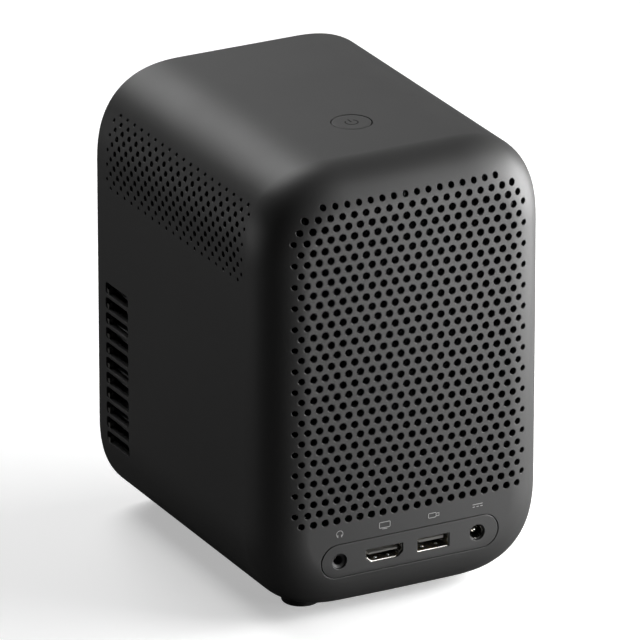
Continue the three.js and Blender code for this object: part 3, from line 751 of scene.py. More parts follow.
def circles(centres: np.ndarray, radii: np.ndarray, around: int) -> np.ndarray:
    """Circles as (count, around, 2) outlines: centre + radius (cos a, sin a).

    Args:
        centres: (count, 2) centres.
        radii: One radius for each.
        around: Points in each circle.

    Returns:
        The outlines.
    """
    angle = (np.arange(around) + 0.5) / around * TURN
    unit = np.stack([np.cos(angle), np.sin(angle)], axis=-1)
    return np.asarray(centres)[:, None, :] + np.asarray(radii)[:, None, None] * unit


def at_depth(flat: np.ndarray, depth: float | np.ndarray) -> np.ndarray:
    """(n, 2) points or directions (x, z) in space, with one y for all or one for each."""
    return np.insert(flat, 1, depth, axis=1)


def grown(loops: np.ndarray, by: float) -> np.ndarray:
    """Anticlockwise outlines pushed outwards.

    Each point moves by (n1 + n2) / (1 + n1 . n2) times the distance, where n1 and n2 are the unit normals of
    its two edges.

    Args:
        loops: (..., around, 2) outlines.
        by: Distance, negative to shrink them.

    Returns:
        The moved outlines.
    """
    ahead = np.roll(loops, -1, axis=-2) - loops
    normal = np.stack([ahead[..., 1], -ahead[..., 0]], axis=-1)
    normal /= np.linalg.norm(normal, axis=-1, keepdims=True)
    behind = np.roll(normal, 1, axis=-2)
    return loops + by * (normal + behind) / (1 + np.sum(normal * behind, axis=-1, keepdims=True))


@dataclass
class Wall:
    """A wall of even thickness over a flat region, pierced by openings with a small chamfer.

    The region is triangulated once. Each point (u, v) becomes the outer point P(u, v) with normal N, and the
    inner point P - thickness N. An opening's rim goes from P outside, grown by the chamfer, to
    P - chamfer N, and on to the inner side.
    """

    place: Callable[[np.ndarray], tuple[np.ndarray, np.ndarray]]
    thickness: float
    chamfer: float

    def build(
        self,
        shape: Shape,
        border: np.ndarray,
        openings: Sequence[np.ndarray],
        extra: np.ndarray,
        seam: tuple[np.ndarray, np.ndarray] | None = None,
    ) -> tuple[np.ndarray, np.ndarray]:
        """Adds the wall to a shape.

        Args:
            shape: Where the points and faces go.
            border: (n, 2) outline of the region, anticlockwise.
            openings: Groups of (count, around, 2) outlines, anticlockwise.
            extra: (n, 2) further points inside, clear of the openings.
            seam: Border numbers that are the same points once placed, as (kept, merged).

        Returns:
            Point numbers of the border outside and inside.
        """
        rims = [grown(group, self.chamfer) for group in openings]
        flat = np.concatenate([border, *[rim.reshape(-1, 2) for rim in rims], extra])
        triangles, loops = self._triangulate(flat, border, rims)
        outer_points, normals = self.place(flat)
        outer = shape.add_points(outer_points, normals)
        inner = shape.add_points(outer_points - self.thickness * normals, -normals)
        if seam is not None:
            outer, inner = outer.copy(), inner.copy()
            outer[seam[1]], inner[seam[1]] = outer[seam[0]], inner[seam[0]]
        shape.smooth_faces.append(outer[triangles[:, ::-1]])
        shape.smooth_faces.append(inner[triangles])
        for group, loop in zip(openings, loops):
            throat_points, throat_normals = self.place(group.reshape(-1, 2))
            throat = shape.add_points(throat_points - self.chamfer * throat_normals).reshape(loop.shape)
            shape.join_loops(outer[loop], throat)
            shape.join_loops(throat, inner[loop])
        edge = np.arange(len(border))
        return outer[edge], inner[edge]

    @staticmethod
    def _triangulate(
        flat: np.ndarray, border: np.ndarray, rims: Sequence[np.ndarray]
    ) -> tuple[np.ndarray, list[np.ndarray]]:
        """Constrained Delaunay triangles of the region, anticlockwise, without those inside an opening.

        Args:
            flat: All points, the border first and the rims next.
            border: The outline.
            rims: The openings' outlines, in groups.

        Returns:
            (m, 3) triangles, and each group's loops of point numbers.
        """
        owner = np.full(len(flat), -1)
        edge = np.arange(len(border))
        edges = [np.stack([edge, np.roll(edge, -1)], axis=1)]
        loops, start, opening = [], len(border), 0
        for rim in rims:
            loop = start + np.arange(rim.shape[0] * rim.shape[1]).reshape(rim.shape[:2])
            owner[loop] = opening + np.arange(rim.shape[0])[:, None]
            edges.append(np.stack([loop, np.roll(loop, -1, axis=1)], axis=-1).reshape(-1, 2))
            loops.append(loop)
            start, opening = start + loop.size, opening + rim.shape[0]
        vectors = [Vector(point) for point in flat.tolist()]
        result = delaunay_2d_cdt(vectors, np.concatenate(edges).tolist(), [], 1, 1e-6)
        source = np.array([origins[0] for origins in result[3]])
        triangles = source[np.array(result[2])]
        owners = owner[triangles]
        inside = (owners[:, 0] >= 0) & (owners[:, 0] == owners[:, 1]) & (owners[:, 0] == owners[:, 2])
        triangles = triangles[~inside]
        first, second, third = (flat[triangles[:, k]] for k in range(3))
        turn = np.cross(second - first, third - first)
        triangles[turn < 0] = triangles[turn < 0][:, ::-1]
        return triangles[np.abs(turn) > 1e-7], loops


# ---------------------------------------------------------------- the body's form


@dataclass
class Section:
    """The body's section seen from behind: a rectangle with superelliptic corners.

    In a corner a point is c + (reach - inset) e, where c is the corner's centre and e lies on the unit curve
    |ex|^power + |ez|^power = 1. Distance along it starts at the middle of the bottom and goes up the +X side.
    """

    low: np.ndarray
    high: np.ndarray
    reach: float = 34.3
    power: float = 2.52

    def __post_init__(self) -> None:
        """Works out the table of centres and directions against distance."""
        self.middle = (self.low + self.high) / 2
        self.core = (self.high - self.low) / 2 - self.reach
        angle = np.linspace(0, TURN / 4, 240)
        quarters = [TURN / 4 * (k - 1) + angle for k in range(4)]
        cosines, sines = np.cos(np.concatenate(quarters)), np.sin(np.concatenate(quarters))
        bend = np.stack([self._bend(cosines), self._bend(sines)], axis=1)
        signs = np.repeat([[1, -1], [1, 1], [-1, 1], [-1, -1]], len(angle), axis=0)
        ends = np.array([[0.0, -1.0]])
        self.directions = np.concatenate([ends, bend, ends])
        self.centres = np.concatenate([ends * self.core, signs * self.core, ends * self.core])
        steps = np.linalg.norm(np.diff(self.centres + self.reach * self.directions, axis=0), axis=1)
        self.distance = np.concatenate([[0.0], np.cumsum(steps)])
        self.length = self.distance[-1]

    def _bend(self, value: np.ndarray) -> np.ndarray:
        """A cosine or sine drawn onto the unit superellipse."""
        value = np.where(np.abs(value) < 1e-9, 0.0, value)
        return np.sign(value) * np.abs(value) ** (2 / self.power)

    def place(self, distance: np.ndarray, inset: float | np.ndarray = 0.0) -> tuple[np.ndarray, np.ndarray]:
        """Points (x, z) and unit normals at distances along the section.

        Args:
            distance: Distance from the middle of the bottom, any number of turns.
            inset: How far inside the outline.

        Returns:
            Two arrays (..., 2).
        """
        along = np.mod(distance, self.length)
        centre, direction = (
            np.stack([np.interp(along, self.distance, table[:, k]) for k in range(2)], axis=-1)
            for table in (self.centres, self.directions)
        )
        reach = np.asarray(self.reach - inset)
        reach = reach[..., None] if reach.ndim else reach
        slope = np.sign(direction) * np.abs(direction) ** (self.power - 1)
        slope /= np.linalg.norm(slope, axis=-1, keepdims=True)
        return self.middle + centre + reach * direction, slope

    def inset_of(self, points: np.ndarray) -> tuple[np.ndarray, np.ndarray]:
        """How far points (x, z) lie inside the outline, and the unit direction straight out.

        Args:
            points: (..., 2) array.

        Returns:
            The insets, and the (..., 2) directions.
        """
        offset = points - self.middle
        beyond = np.maximum(np.abs(offset) - self.core, 0.0)
        norm = np.sum(beyond**self.power, axis=-1) ** (1 / self.power)
        slope = np.sign(offset) * beyond ** (self.power - 1)
        length = np.linalg.norm(slope, axis=-1, keepdims=True)
        return self.reach - norm, slope / np.maximum(length, 1e-12)

    def side(self, height: np.ndarray, sign: int) -> np.ndarray:
        """Distance of a height on the +X (sign 1) or -X (sign -1) wall, measured over the rounding."""
        from_middle = np.asarray(height) - self.middle[1]
        return self.length * (0.25 if sign > 0 else 0.75) + sign * from_middle


@dataclass
class EndForm:
    """A crowned end face that rounds over into the body's walls.

    Height along the depth is face - F(inset) - crown_x x^2 - crown_z z^2, with x and z from the middle, where
    F is the drop of a round edge: radius - sqrt(radius^2 - (radius - inset)^2) for insets under the radius.
    """

    section: Section
    face: float
    radius: float
    crown: tuple[float, float]

    def sag(self, points: np.ndarray) -> np.ndarray:
        """Drop of the crown at points (x, z)."""
        return np.sum(np.array(self.crown) * (points - self.section.middle) ** 2, axis=-1)

    def place(self, points: np.ndarray) -> tuple[np.ndarray, np.ndarray]:
        """Puts points (x, z) of the face into space.

        Args:
            points: (n, 2) array.

        Returns:
            3-D points and outward normals.
        """
        inset, outward = self.section.inset_of(points)
        over = np.clip(1 - inset / self.radius, 0.0, 1.0)
        rise = np.sqrt(1 - over**2)
        height = self.face - self.radius * (1 - rise) - self.sag(points)
        return at_depth(points, height), self._normals(points, outward, over, rise)

    def rings(self, distances: np.ndarray, angles: np.ndarray) -> tuple[np.ndarray, np.ndarray]:
        """Rings round the edge's rounding, from the wall (angle 0) towards the face.

        Args:
            distances: Places along the section.
            angles: Angles of the rounding, one for each ring.

        Returns:
            (angles, distances, 3) points and normals.
        """
        points, normals = [], []
        for angle in angles:
            flat, outward = self.section.place(distances, self.radius * (1 - math.cos(angle)))
            height = self.face - self.radius * (1 - math.sin(angle)) - self.sag(flat)
            points.append(at_depth(flat, height))
            over = np.full(len(flat), math.cos(angle))
            normals.append(self._normals(flat, outward, over, np.full(len(flat), math.sin(angle))))
        return np.stack(points), np.stack(normals)

    def _normals(
        self, points: np.ndarray, outward: np.ndarray, over: np.ndarray, rise: np.ndarray
    ) -> np.ndarray:
        """Unit normals: over times the way out of the wall, plus rise times the crowned face's own normal.

        Args:
            points: (x, z) places.
            outward: Directions straight out of the wall there.
            over: How far each place has rounded over.
            rise: The rest of that rounding.

        Returns:
            Unit normals.
        """
        tilt = 2 * np.array(self.crown) * (points - self.section.middle)
        across = over[..., None] * outward + rise[..., None] * tilt
        normal = at_depth(across, rise)
        return normal / np.linalg.norm(normal, axis=-1, keepdims=True)


# ---------------------------------------------------------------- grilles


@dataclass(frozen=True)
class RearGrille:
    """Rows of round holes in a hexagonal lattice; the outermost ones are smaller."""

    pitch: float = 4.5
    row_step: float = 3.903
    rows: int = 31
    columns: int = 21
    centre_height: float = 95.14
    radius: float = 1.4
    edge_sizes: tuple[float, ...] = (0.77, 0.86, 0.93, 0.97)
    top_sizes: tuple[float, ...] = (0.82, 0.91)
    clipped_rows: tuple[int, ...] = (5, 1)

    def holes(self, floor: float) -> tuple[np.ndarray, np.ndarray]:
        """Centres (x, z) and radii.

        Odd rows are shifted by half a pitch, and the top rows lose some holes at their ends, so that the
        field follows the body's round shoulders.

        Args:
            floor: Height of the body's underside.

        Returns:
            (n, 2) centres and (n,) radii.
        """
        row, column = np.meshgrid(np.arange(self.rows), np.arange(2 * self.columns - 1), indexing="ij")
        kept = (row + column) % 2 == 1
        half_steps = column - (self.columns - 1)
        reach = self.columns - 1 - np.abs(half_steps)
        for number, lost in enumerate(self.clipped_rows):
            kept &= (row != number) | (reach >= lost)
        size = np.ones(row.shape)
        for number, share in enumerate(self.edge_sizes):
            size = np.where(reach == number, share, size)
        for number, share in enumerate(self.top_sizes):
            size = np.where(row == number, np.minimum(size, share), size)
        x = half_steps * self.pitch / 2
        z = floor + self.centre_height + (self.rows // 2 - row) * self.row_step
        return np.stack([x[kept], z[kept]], axis=1), self.radius * size[kept]


@dataclass(frozen=True)
class SideGrille:
    """A band of small holes in a diamond lattice high on each side; its border holes are smaller."""

    pitch: float = 5.438
    row_step: float = 2.754
    rows: int = 11
    columns: int = 20
    top: float = 152.06
    front: float = -123.0
    radius: float = 1.1
    border_size: float = 0.62
    next_size: float = 0.82

    def holes(self, floor: float, rear: float) -> tuple[np.ndarray, np.ndarray]:
        """Centres (y, height over the rounding) and radii.

        Args:
            floor: Height of the body's underside.
            rear: Where the rear face lies.

        Returns:
            (n, 2) centres and (n,) radii.
        """
        row, column = np.meshgrid(np.arange(self.rows), np.arange(2 * self.columns - 1), indexing="ij")
        kept = (row + column) % 2 == 1
        edge = np.minimum.reduce([row, self.rows - 1 - row, column, 2 * self.columns - 2 - column])
        size = np.where(edge == 0, self.border_size, np.where(edge == 1, self.next_size, 1.0))
        y = rear + self.front + column * self.pitch / 2
        height = floor + self.top - row * self.row_step
        return np.stack([y[kept], height[kept]], axis=1), self.radius * size[kept]


@dataclass(frozen=True)
class AirSlots:
    """A ladder of rounded slots near the front of each side."""

    count: int = 11
    pitch: float = 5.73
    length: float = 17.5
    height: float = 4.4
    corner: float = 1.3
    top: float = 90.0
    centre: float = -49.3

    def outlines(self, around: int = 24) -> np.ndarray:
        """(count, around, 2) outlines in (y, height).

        Args:
            around: Points in each outline.

        Returns:
            The outlines.
        """
        outline = rounded_outline(self.length, self.height, self.corner, around)
        heights = self.top - self.height / 2 - self.pitch * np.arange(self.count)
        centres = np.stack([np.full(self.count, self.centre), heights], axis=1)
        return outline + centres[:, None, :]


@dataclass(frozen=True)
class SlotLightBlocks:
    """A small light grey block in the lower front corner of every air slot, set back from the wall's face;
    its light colour is painted light, standing in for light falling there inside the slot.
    """

    depth: float = 1.6
    set_back: float = 0.5
    length: float = 1.8
    height: float = 1.9
    corner: float = 0.25
    sunk: float = 0.2

    def build(self) -> bpy.types.Object:
        """Builds the blocks of both sides as one piece.

        Returns:
            The piece.
        """
        face = box_mm("housing")[1, 0] - self.set_back
        slots = AirSlots().outlines()
        corners = slots.min(axis=1) - self.sunk
        block = rounded_outline(self.length, self.height, self.corner, 16)[0]
        block = block + [self.length / 2, self.height / 2]
        parts = []
        for side in (-1, 1):
            for outline in block + corners[:, None, :]:
                ends = (side * face, side * (face - self.depth))
                rings = [np.column_stack([np.full(len(outline), x), outline]) for x in ends]
                parts.append((np.stack(rings), False))
        # SOCKET_GREY makes these blocks lighter than the shell: painted light where light falls inside the
        # slots.
        piece = welded("slot_light_blocks", parts, Finish.SOCKET_GREY)
        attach(piece, "root")
        return piece


# ---------------------------------------------------------------- housing


@dataclass
class Housing:
    """The one-piece shell, with every grille hole, slot and cut-out."""

    wall: float = 2.2
    chamfer: float = 0.12
    rim_round: float = 0.7
    columns: int = 236
    seam: float = -12.0
    fillet: float = 16.75
    patch_inset: float = 7.4
    gap: float = 0.3
    crown: tuple[float, float] = (5.5e-4, 8e-5)
    face_insets: tuple[float, ...] = (9.6, 11.2, 12.9, 14.8)
    wall_rows: int = 16
    edge_rings: int = 12
    rim_rings: int = 5
    wall_clearance: float = 0.9
    face_clearance: float = 0.7

    def __post_init__(self) -> None:
        """Reads the frame."""
        low, high = box_mm("housing")
        self.rim, self.rear, self.floor, self.roof = low[1], high[1], low[2], high[2]
        self.section = Section(np.array([low[0], low[2]]), np.array([high[0], high[2]]))
        self.end = EndForm(self.section, self.rear, self.fillet, self.crown)
        self.stations = self.seam + self.section.length * np.arange(self.columns + 1) / self.columns

    def build(self) -> bpy.types.Object:
        """Builds the shell and lets it stand for the CAD housing.

        Returns:
            The shell.
        """
        shape = Shape()
        tube_ring, tube_inner, rim_ring, rim_inner = self._add_tube(shape)
        face_ring, face_inner = self._add_rear(shape)
        self._add_rounding(shape, (tube_ring, tube_inner), (face_ring, face_inner))
        self._add_rim(shape, rim_ring, rim_inner)
        piece = shape.make("housing_shell", Finish.DARK_SHELL)
        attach(piece, "root")
        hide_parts("housing")
        return piece

    def wall_point(self, flat: np.ndarray) -> tuple[np.ndarray, np.ndarray]:
        """Wraps (distance, y) onto the walls: the section's point at that distance, at the same depth.

        Args:
            flat: (n, 2) array of distance and depth.

        Returns:
            3-D points and outward normals.
        """
        section, normal = self.section.place(flat[:, 0])
        return at_depth(section, flat[:, 1]), at_depth(normal, 0.0)

    def _add_tube(self, shape: Shape) -> tuple[np.ndarray, ...]:
        """Adds the walls from the front rim to where the rear rounding starts.

        Args:
            shape: Where the walls go.

        Returns:
            Loops at the rear outside and inside, then at the rim outside and inside.
        """
        front = self.rim + self.rim_round
        outline, _ = self.section.place(self.stations)
        back = self.rear - self.fillet - self.end.sag(outline)
        count = self.columns
        rows = np.linspace(front, back.min(), self.wall_rows)[1:-1]
        low_edge = np.stack([self.stations, np.full(count + 1, front)], axis=1)
        right_edge = np.stack([np.full(len(rows), self.stations[-1]), rows], axis=1)
        high_edge = np.stack([self.stations, back], axis=1)[::-1]
        left_edge = np.stack([np.full(len(rows), self.stations[0]), rows], axis=1)[::-1]
        border = np.concatenate([low_edge, right_edge, high_edge, left_edge])
        right = np.arange(count, count + len(rows) + 2)
        left = np.concatenate([[0], np.arange(len(border) - 1, len(border) - 1 - len(rows), -1)])
        left = np.concatenate([left, [2 * count + 1 + len(rows)]])
        openings = self._tube_openings()
        extra = self._free_points(rows, openings)
        wall = Wall(self.wall_point, self.wall, self.chamfer)
        outer, inner = wall.build(shape, border, openings, extra, (left, right))
        low = np.arange(count)
        high = np.arange(2 * count + 1 + len(rows), count + 1 + len(rows), -1)
        return outer[high], inner[high], outer[low], inner[low]

    def _tube_openings(self) -> list[np.ndarray]:
        """Outlines, in (distance, y), of every opening in the walls.

        Returns:
            Groups of anticlockwise outlines.
        """
        holes, radii = SideGrille().holes(self.floor, self.rear)
        slots = AirSlots().outlines()
        grille, ladders = [], []
        for sign in (1, -1):
            centres = np.stack([self.section.side(holes[:, 1], sign), holes[:, 0]], axis=1)
            grille.append(circles(centres, radii, 12))
            turned = np.stack([self.section.side(slots[..., 1], sign), slots[..., 0]], axis=-1)
            ladders.append(turned if signed_area(turned[0]) > 0 else turned[:, ::-1])
        button = box_mm("power_button")
        button_y = (button[0, 1] + button[1, 1]) / 2
        top = self.section.length / 2
        button_hole = circles(np.array([[top, button_y]]), np.array([PowerButton.cap_radius + self.gap]), 72)
        socket = box_mm("tripod_socket")
        socket_hole = circles(np.array([[0.0, 0.0]]), np.array([socket[1, 0] + self.gap]), 56)
        feet = np.stack([box_mm(f"foot_{place}") for place in Feet.places])
        middles = feet.mean(axis=1)
        spots = np.stack([[self._bottom_distance(x) for x in middles[:, 0]], middles[:, 1]], axis=1)
        foot_holes = circles(spots, np.ptp(feet, axis=1)[:, 0] / 2 + self.gap, 48)
        return [*grille, *ladders, button_hole, socket_hole, foot_holes]

    def _bottom_distance(self, x: float) -> float:
        """Distance along the section of the underside's point at x.

        Args:
            x: How far from the middle.

        Returns:
            The distance.
        """
        near = np.linspace(-60, 60, 2401)
        points, _ = self.section.place(near)
        return float(near[np.argmin(np.abs(points[:, 0] - x))])

    def _free_points(self, rows: np.ndarray, openings: Sequence[np.ndarray]) -> np.ndarray:
        """A grid of points over the walls, close set on the roundings, that keeps clear of the openings.

        Args:
            rows: Depths of the grid.
            openings: Groups of outlines to keep clear of.

        Returns:
            (n, 2) points.
        """
        _, normal = self.section.place(self.stations[1:-1])
        bent = np.minimum(np.abs(normal[:, 0]), np.abs(normal[:, 1])) > 1e-3
        kept = bent | (np.arange(len(bent)) % 3 == 0)
        grid = np.stack(np.meshgrid(self.stations[1:-1][kept], rows, indexing="ij"), axis=-1).reshape(-1, 2)
        return clear_of(grid, openings, self.wall_clearance)

    def _add_rear(self, shape: Shape) -> tuple[np.ndarray, np.ndarray]:
        """Adds the pierced rear face inside the rounding.

        Args:
            shape: Where the face goes.

        Returns:
            Its border loops outside and inside.
        """
        border, _ = self.section.place(self.stations[:-1], self.patch_inset)
        holes, radii = RearGrille().holes(self.floor)
        panel = SocketPanel()
        openings = [circles(holes, radii, 16), panel.recess(self.gap)]
        insets = (*self.face_insets, self.fillet)
        rings = [self.section.place(self.stations[:-1:2], inset)[0] for inset in insets]
        extra = clear_of(np.concatenate(rings), openings, self.face_clearance)
        wall = Wall(self.end.place, self.wall, self.chamfer)
        return wall.build(shape, border, openings, extra)

    def _add_rounding(self, shape: Shape, tube: tuple[np.ndarray, ...], face: tuple[np.ndarray, ...]) -> None:
        """Adds the rounding between the walls and the rear face, outside and inside.

        Args:
            shape: Where the rounding goes.
            tube: The walls' rear loops outside and inside.
            face: The face's border loops outside and inside.
        """
        last = math.acos(1 - self.patch_inset / self.fillet)
        points, normals = self.end.rings(self.stations[:-1], np.linspace(0, last, self.edge_rings)[1:-1])
        outer = [tube[0], *shape.add_points(points, normals), face[0]]
        inner = [tube[1], *shape.add_points(points - self.wall * normals, -normals), face[1]]
        for near, far in zip(outer, outer[1:]):
            shape.join_loops(near, far, smooth=True)
        for near, far in zip(inner, inner[1:]):
            shape.join_loops(far, near, smooth=True)

    def _add_rim(self, shape: Shape, outer: np.ndarray, inner: np.ndarray) -> None:
        """Adds the rounded front rim: each ring is set in by r (1 - cos a) and forward by r sin a.

        Args:
            shape: Where the rim goes.
            outer: The walls' front loop outside.
            inner: The same inside.
        """
        distances = self.stations[:-1]
        loops = [outer]
        for angle in np.linspace(0, TURN / 4, self.rim_rings)[1:]:
            flat, out = self.section.place(distances, self.rim_round * (1 - math.cos(angle)))
            points = at_depth(flat, self.rim + self.rim_round * (1 - math.sin(angle)))
            loops.append(shape.add_points(points, at_depth(out * math.cos(angle), -math.sin(angle))))
        flat, out = self.section.place(distances)
        lip_loop = shape.add_points(at_depth(flat - self.wall * out, self.rim))
        for near, far in zip(loops, loops[1:]):
            shape.join_loops(far, near, smooth=True)
        shape.join_loops(lip_loop, loops[-1])
        shape.join_loops(inner, lip_loop)


def signed_area(outline: np.ndarray) -> float:
    """Area of an outline, positive when it runs anticlockwise."""
    ahead = np.roll(outline, -1, axis=0)
    return float(np.sum(outline[:, 0] * ahead[:, 1] - outline[:, 1] * ahead[:, 0]) / 2)


def clear_of(points: np.ndarray, openings: Sequence[np.ndarray], margin: float) -> np.ndarray:
    """The points that stay outside every opening's surrounding box, grown by a margin.

    Args:
        points: (n, 2) array.
        openings: Groups of outlines.
        margin: How far each box is grown.

    Returns:
        The points kept.
    """
    free = np.ones(len(points), dtype=bool)
    for group in openings:
        low, high = group.min(axis=1) - margin, group.max(axis=1) + margin
        within = (points[:, None] > low).all(axis=-1) & (points[:, None] < high).all(axis=-1)
        free &= ~within.any(axis=1)
    return points[free]


# ---------------------------------------------------------------- rear sockets


@dataclass
class SocketPanel:
    """The pill-shaped plate at the bottom of the rear, with four cut-outs."""

    thickness: float = 2.1
    chamfer: float = 0.14
    jack_radii: tuple[float, float] = (2.85, 3.0)
    data_cut: tuple[float, float] = (12.8, 5.2)
    video_cut: tuple[float, float] = (14.6, 5.1)

    def __post_init__(self) -> None:
        """Reads the plate's and the sockets' places from the frame."""
        self.low, self.high = box_mm("socket_panel")
        self.centre = (self.low + self.high) / 2
        self.size = self.high - self.low
        nodes = ("headphone_jack", "hdmi_shell", "usb_shell")
        self.spots = {name: box_mm(name).mean(axis=0) for name in nodes}
        self.spots["power_jack"] = box_mm("power_jack_pin").mean(axis=0)

    def recess(self, gap: float) -> np.ndarray:
        """The opening that takes the plate, a gap larger all round.

        Args:
            gap: Clearance round the plate.

        Returns:
            A (1, around, 2) outline.
        """
        width, height = self.size[0] + 2 * gap, self.size[2] + 2 * gap
        outline = rounded_outline(width, height, height / 2 - 0.02, 64)
        return outline + self.centre[[0, 2]]

    def cutouts(self) -> list[np.ndarray]:
        """Outlines of the round, rectangular and bevelled openings.

        Returns:
            Groups of anticlockwise outlines in (x, z).
        """
        headphone, power = self.spots["headphone_jack"], self.spots["power_jack"]
        level = self.centre[2]
        jacks = np.array([[headphone[0], level], [power[0], level]])
        round_holes = circles(jacks, np.array(self.jack_radii), 48)
        slot = rounded_outline(*self.data_cut, 0.35, 16) + self.spots["usb_shell"][[0, 2]]
        bevelled = video_outline(*self.video_cut)[None] + self.spots["hdmi_shell"][[0, 2]]
        return [round_holes, slot, bevelled]

    def build(self, end: EndForm) -> bpy.types.Object:
        """Builds the plate, which follows the rear face's crown.

        Args:
            end: The rear face.

        Returns:
            The plate.
        """
        shape = Shape()
        outline = self.recess(0.0)[0]
        border = grown(outline, -self.chamfer)
        spread = np.stack(np.meshgrid(np.linspace(-32, 32, 33), [-4.6, 0.0, 4.6]), axis=-1).reshape(-1, 2)
        openings = self.cutouts()
        extra = clear_of(spread + self.centre[[0, 2]], openings, 0.5)
        outer, inner = Wall(end.place, self.thickness, self.chamfer).build(shape, border, openings, extra)
        points, normals = end.place(outline)
        edge = shape.add_points(points - self.chamfer * normals)
        back = shape.add_points(points - (self.thickness - self.chamfer) * normals)
        for near, far in ((edge, outer), (back, edge), (inner, back)):
            shape.join_loops(near, far)
        piece = shape.make("socket_plate", Finish.DARK_SHELL)
        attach(piece, "root")
        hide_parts("socket_panel")
        return piece


def video_outline(width: float, height: float) -> np.ndarray:
    """A video socket's section: a rectangle whose lower corners are cut off, each corner slightly eased.

    Args:
        width: Across the top.
        height: From bottom to top.

    Returns:
        An anticlockwise outline.
    """
    half, low, high = width / 2, -height / 2, height / 2
    right = [[half - 2.2, low], [half, low + 1.9], [half, high]]
    left = [[-x, z] for x, z in reversed(right)]
    return eased(np.array(right + left), 0.35)


def eased(corners: np.ndarray, reach: float) -> np.ndarray:
    """Each corner of an outline replaced by a quadratic curve that starts and ends reach away from it.

    Args:
        corners: (n, 2) outline.
        reach: How far from a corner its curve starts.

    Returns:
        The eased outline.
    """
    back, ahead = np.roll(corners, 1, axis=0) - corners, np.roll(corners, -1, axis=0) - corners
    start = corners + back / np.linalg.norm(back, axis=1, keepdims=True) * reach
    end = corners + ahead / np.linalg.norm(ahead, axis=1, keepdims=True) * reach
    share = np.linspace(0, 1, 4)[None, :, None]
    start, middle, end = start[:, None], corners[:, None], end[:, None]
    return ((1 - share) ** 2 * start + 2 * share * (1 - share) * middle + share**2 * end).reshape(-1, 2)


@dataclass(frozen=True)
class Tongue:
    """A socket's contact tongue, placed from the middle of its shell, with a row of contacts underneath."""

    name: str
    node: str
    slot: str
    width: float
    low: float
    high: float
    set_back: float
    contacts: int
    row_share: float = 0.86
    strip_share: float = 0.55
    strip_ends: tuple[float, float] = (7.0, 0.5)

    def build(self, centre: np.ndarray, back: float, mouth: float) -> list[bpy.types.Object]:
        """Builds the tongue and its contacts.

        Args:
            centre: Middle of the shell round it.
            back: Depth at which it ends.
            mouth: Depth of the shell's mouth.

        Returns:
            Both pieces.
        """
        tip, thickness = mouth - self.set_back, self.high - self.low
        middle = np.array([centre[0], 0.0, centre[2] + (self.low + self.high) / 2])
        section = rounded_outline(self.width, thickness, 0.15, 16)[0]
        depths = [(0.0, back), (0.0, tip - 0.2), (-0.12, tip)]
        rings = [ring_at(grown(section, grow), middle, y) for grow, y in depths]
        blade = skinned(self.name, np.stack(rings), Finish.SOCKET_GREY)
        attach(blade, "root")
        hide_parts(self.node)
        pitch = self.width * self.row_share / self.contacts
        strip = rounded_outline(pitch * self.strip_share, 0.12, 0.03, 8)[0]
        parts = []
        for number in range(self.contacts):
            across = (number - (self.contacts - 1) / 2) * pitch
            place = middle + np.array([across, 0.0, -thickness / 2])
            ends = [ring_at(strip, place, tip - reach) for reach in self.strip_ends]
            parts.append((np.stack(ends), False))
        strips = welded(f"{self.name}_contacts", parts, Finish.CONTACT_GOLD)
        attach(strips, "root")
        return [blade, strips]


@dataclass(frozen=True)
class Sleeve:
    """A formed sheet shell round a socket, flared at the mouth, with pressed contact springs inside."""

    name: str
    node: str
    outline: np.ndarray
    spring_x: float
    spring_depth: float
    sheet: float = 0.35

    def build(self, box: np.ndarray, mouth: float) -> list[bpy.types.Object]:
        """Builds the shell and its springs.

        Args:
            box: Corners of the CAD shell.
            mouth: Depth of its mouth.

        Returns:
            Both pieces.
        """
        centre, back = box.mean(axis=0), box[0, 1]
        outside = [(0.0, back), (0.0, mouth - 0.06), (-0.06, mouth)]
        inside = [(-0.21, mouth - 0.15), (-self.sheet, mouth - 0.8), (-self.sheet, back)]
        rings = [ring_at(grown(self.outline, grow), centre, y) for grow, y in outside + inside]
        shell = skinned(self.name, np.stack(rings), Finish.NICKEL, cyclic=True)
        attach(shell, "root")
        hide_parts(self.node)
        springs = welded(f"{self.name}_springs", self._springs(centre, mouth), Finish.STEEL)
        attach(springs, "root")
        return [shell, springs]

    def _springs(self, centre: np.ndarray, mouth: float) -> list[tuple[np.ndarray, bool]]:
        """Low domes, two on the lower wall and two deeper in on the upper wall.

        Args:
            centre: Middle of the shell.
            mouth: Depth of its mouth.

        Returns:
            Rings for welded.
        """
        floor, roof = self.outline[:, 1].min() + self.sheet, self.outline[:, 1].max() - self.sheet
        profile = [(0.0, -0.1), (0.62, -0.1), (0.58, 0.08), (0.42, 0.26), (0.2, 0.35), (0.0, 0.37)]
        flipped = [(radius, -height) for radius, height in profile]
        parts = []
        for x in (centre[0] - self.spring_x, centre[0] + self.spring_x):
            lower = [x, mouth - self.spring_depth, centre[2] + floor]
            upper = [x, mouth - self.spring_depth - 1.2, centre[2] + roof]
            domes = revolved(profile, lower, Axis.Z, 20), revolved(flipped, upper, Axis.Z, 20)
            parts += [(dome, False) for dome in domes]
        return parts


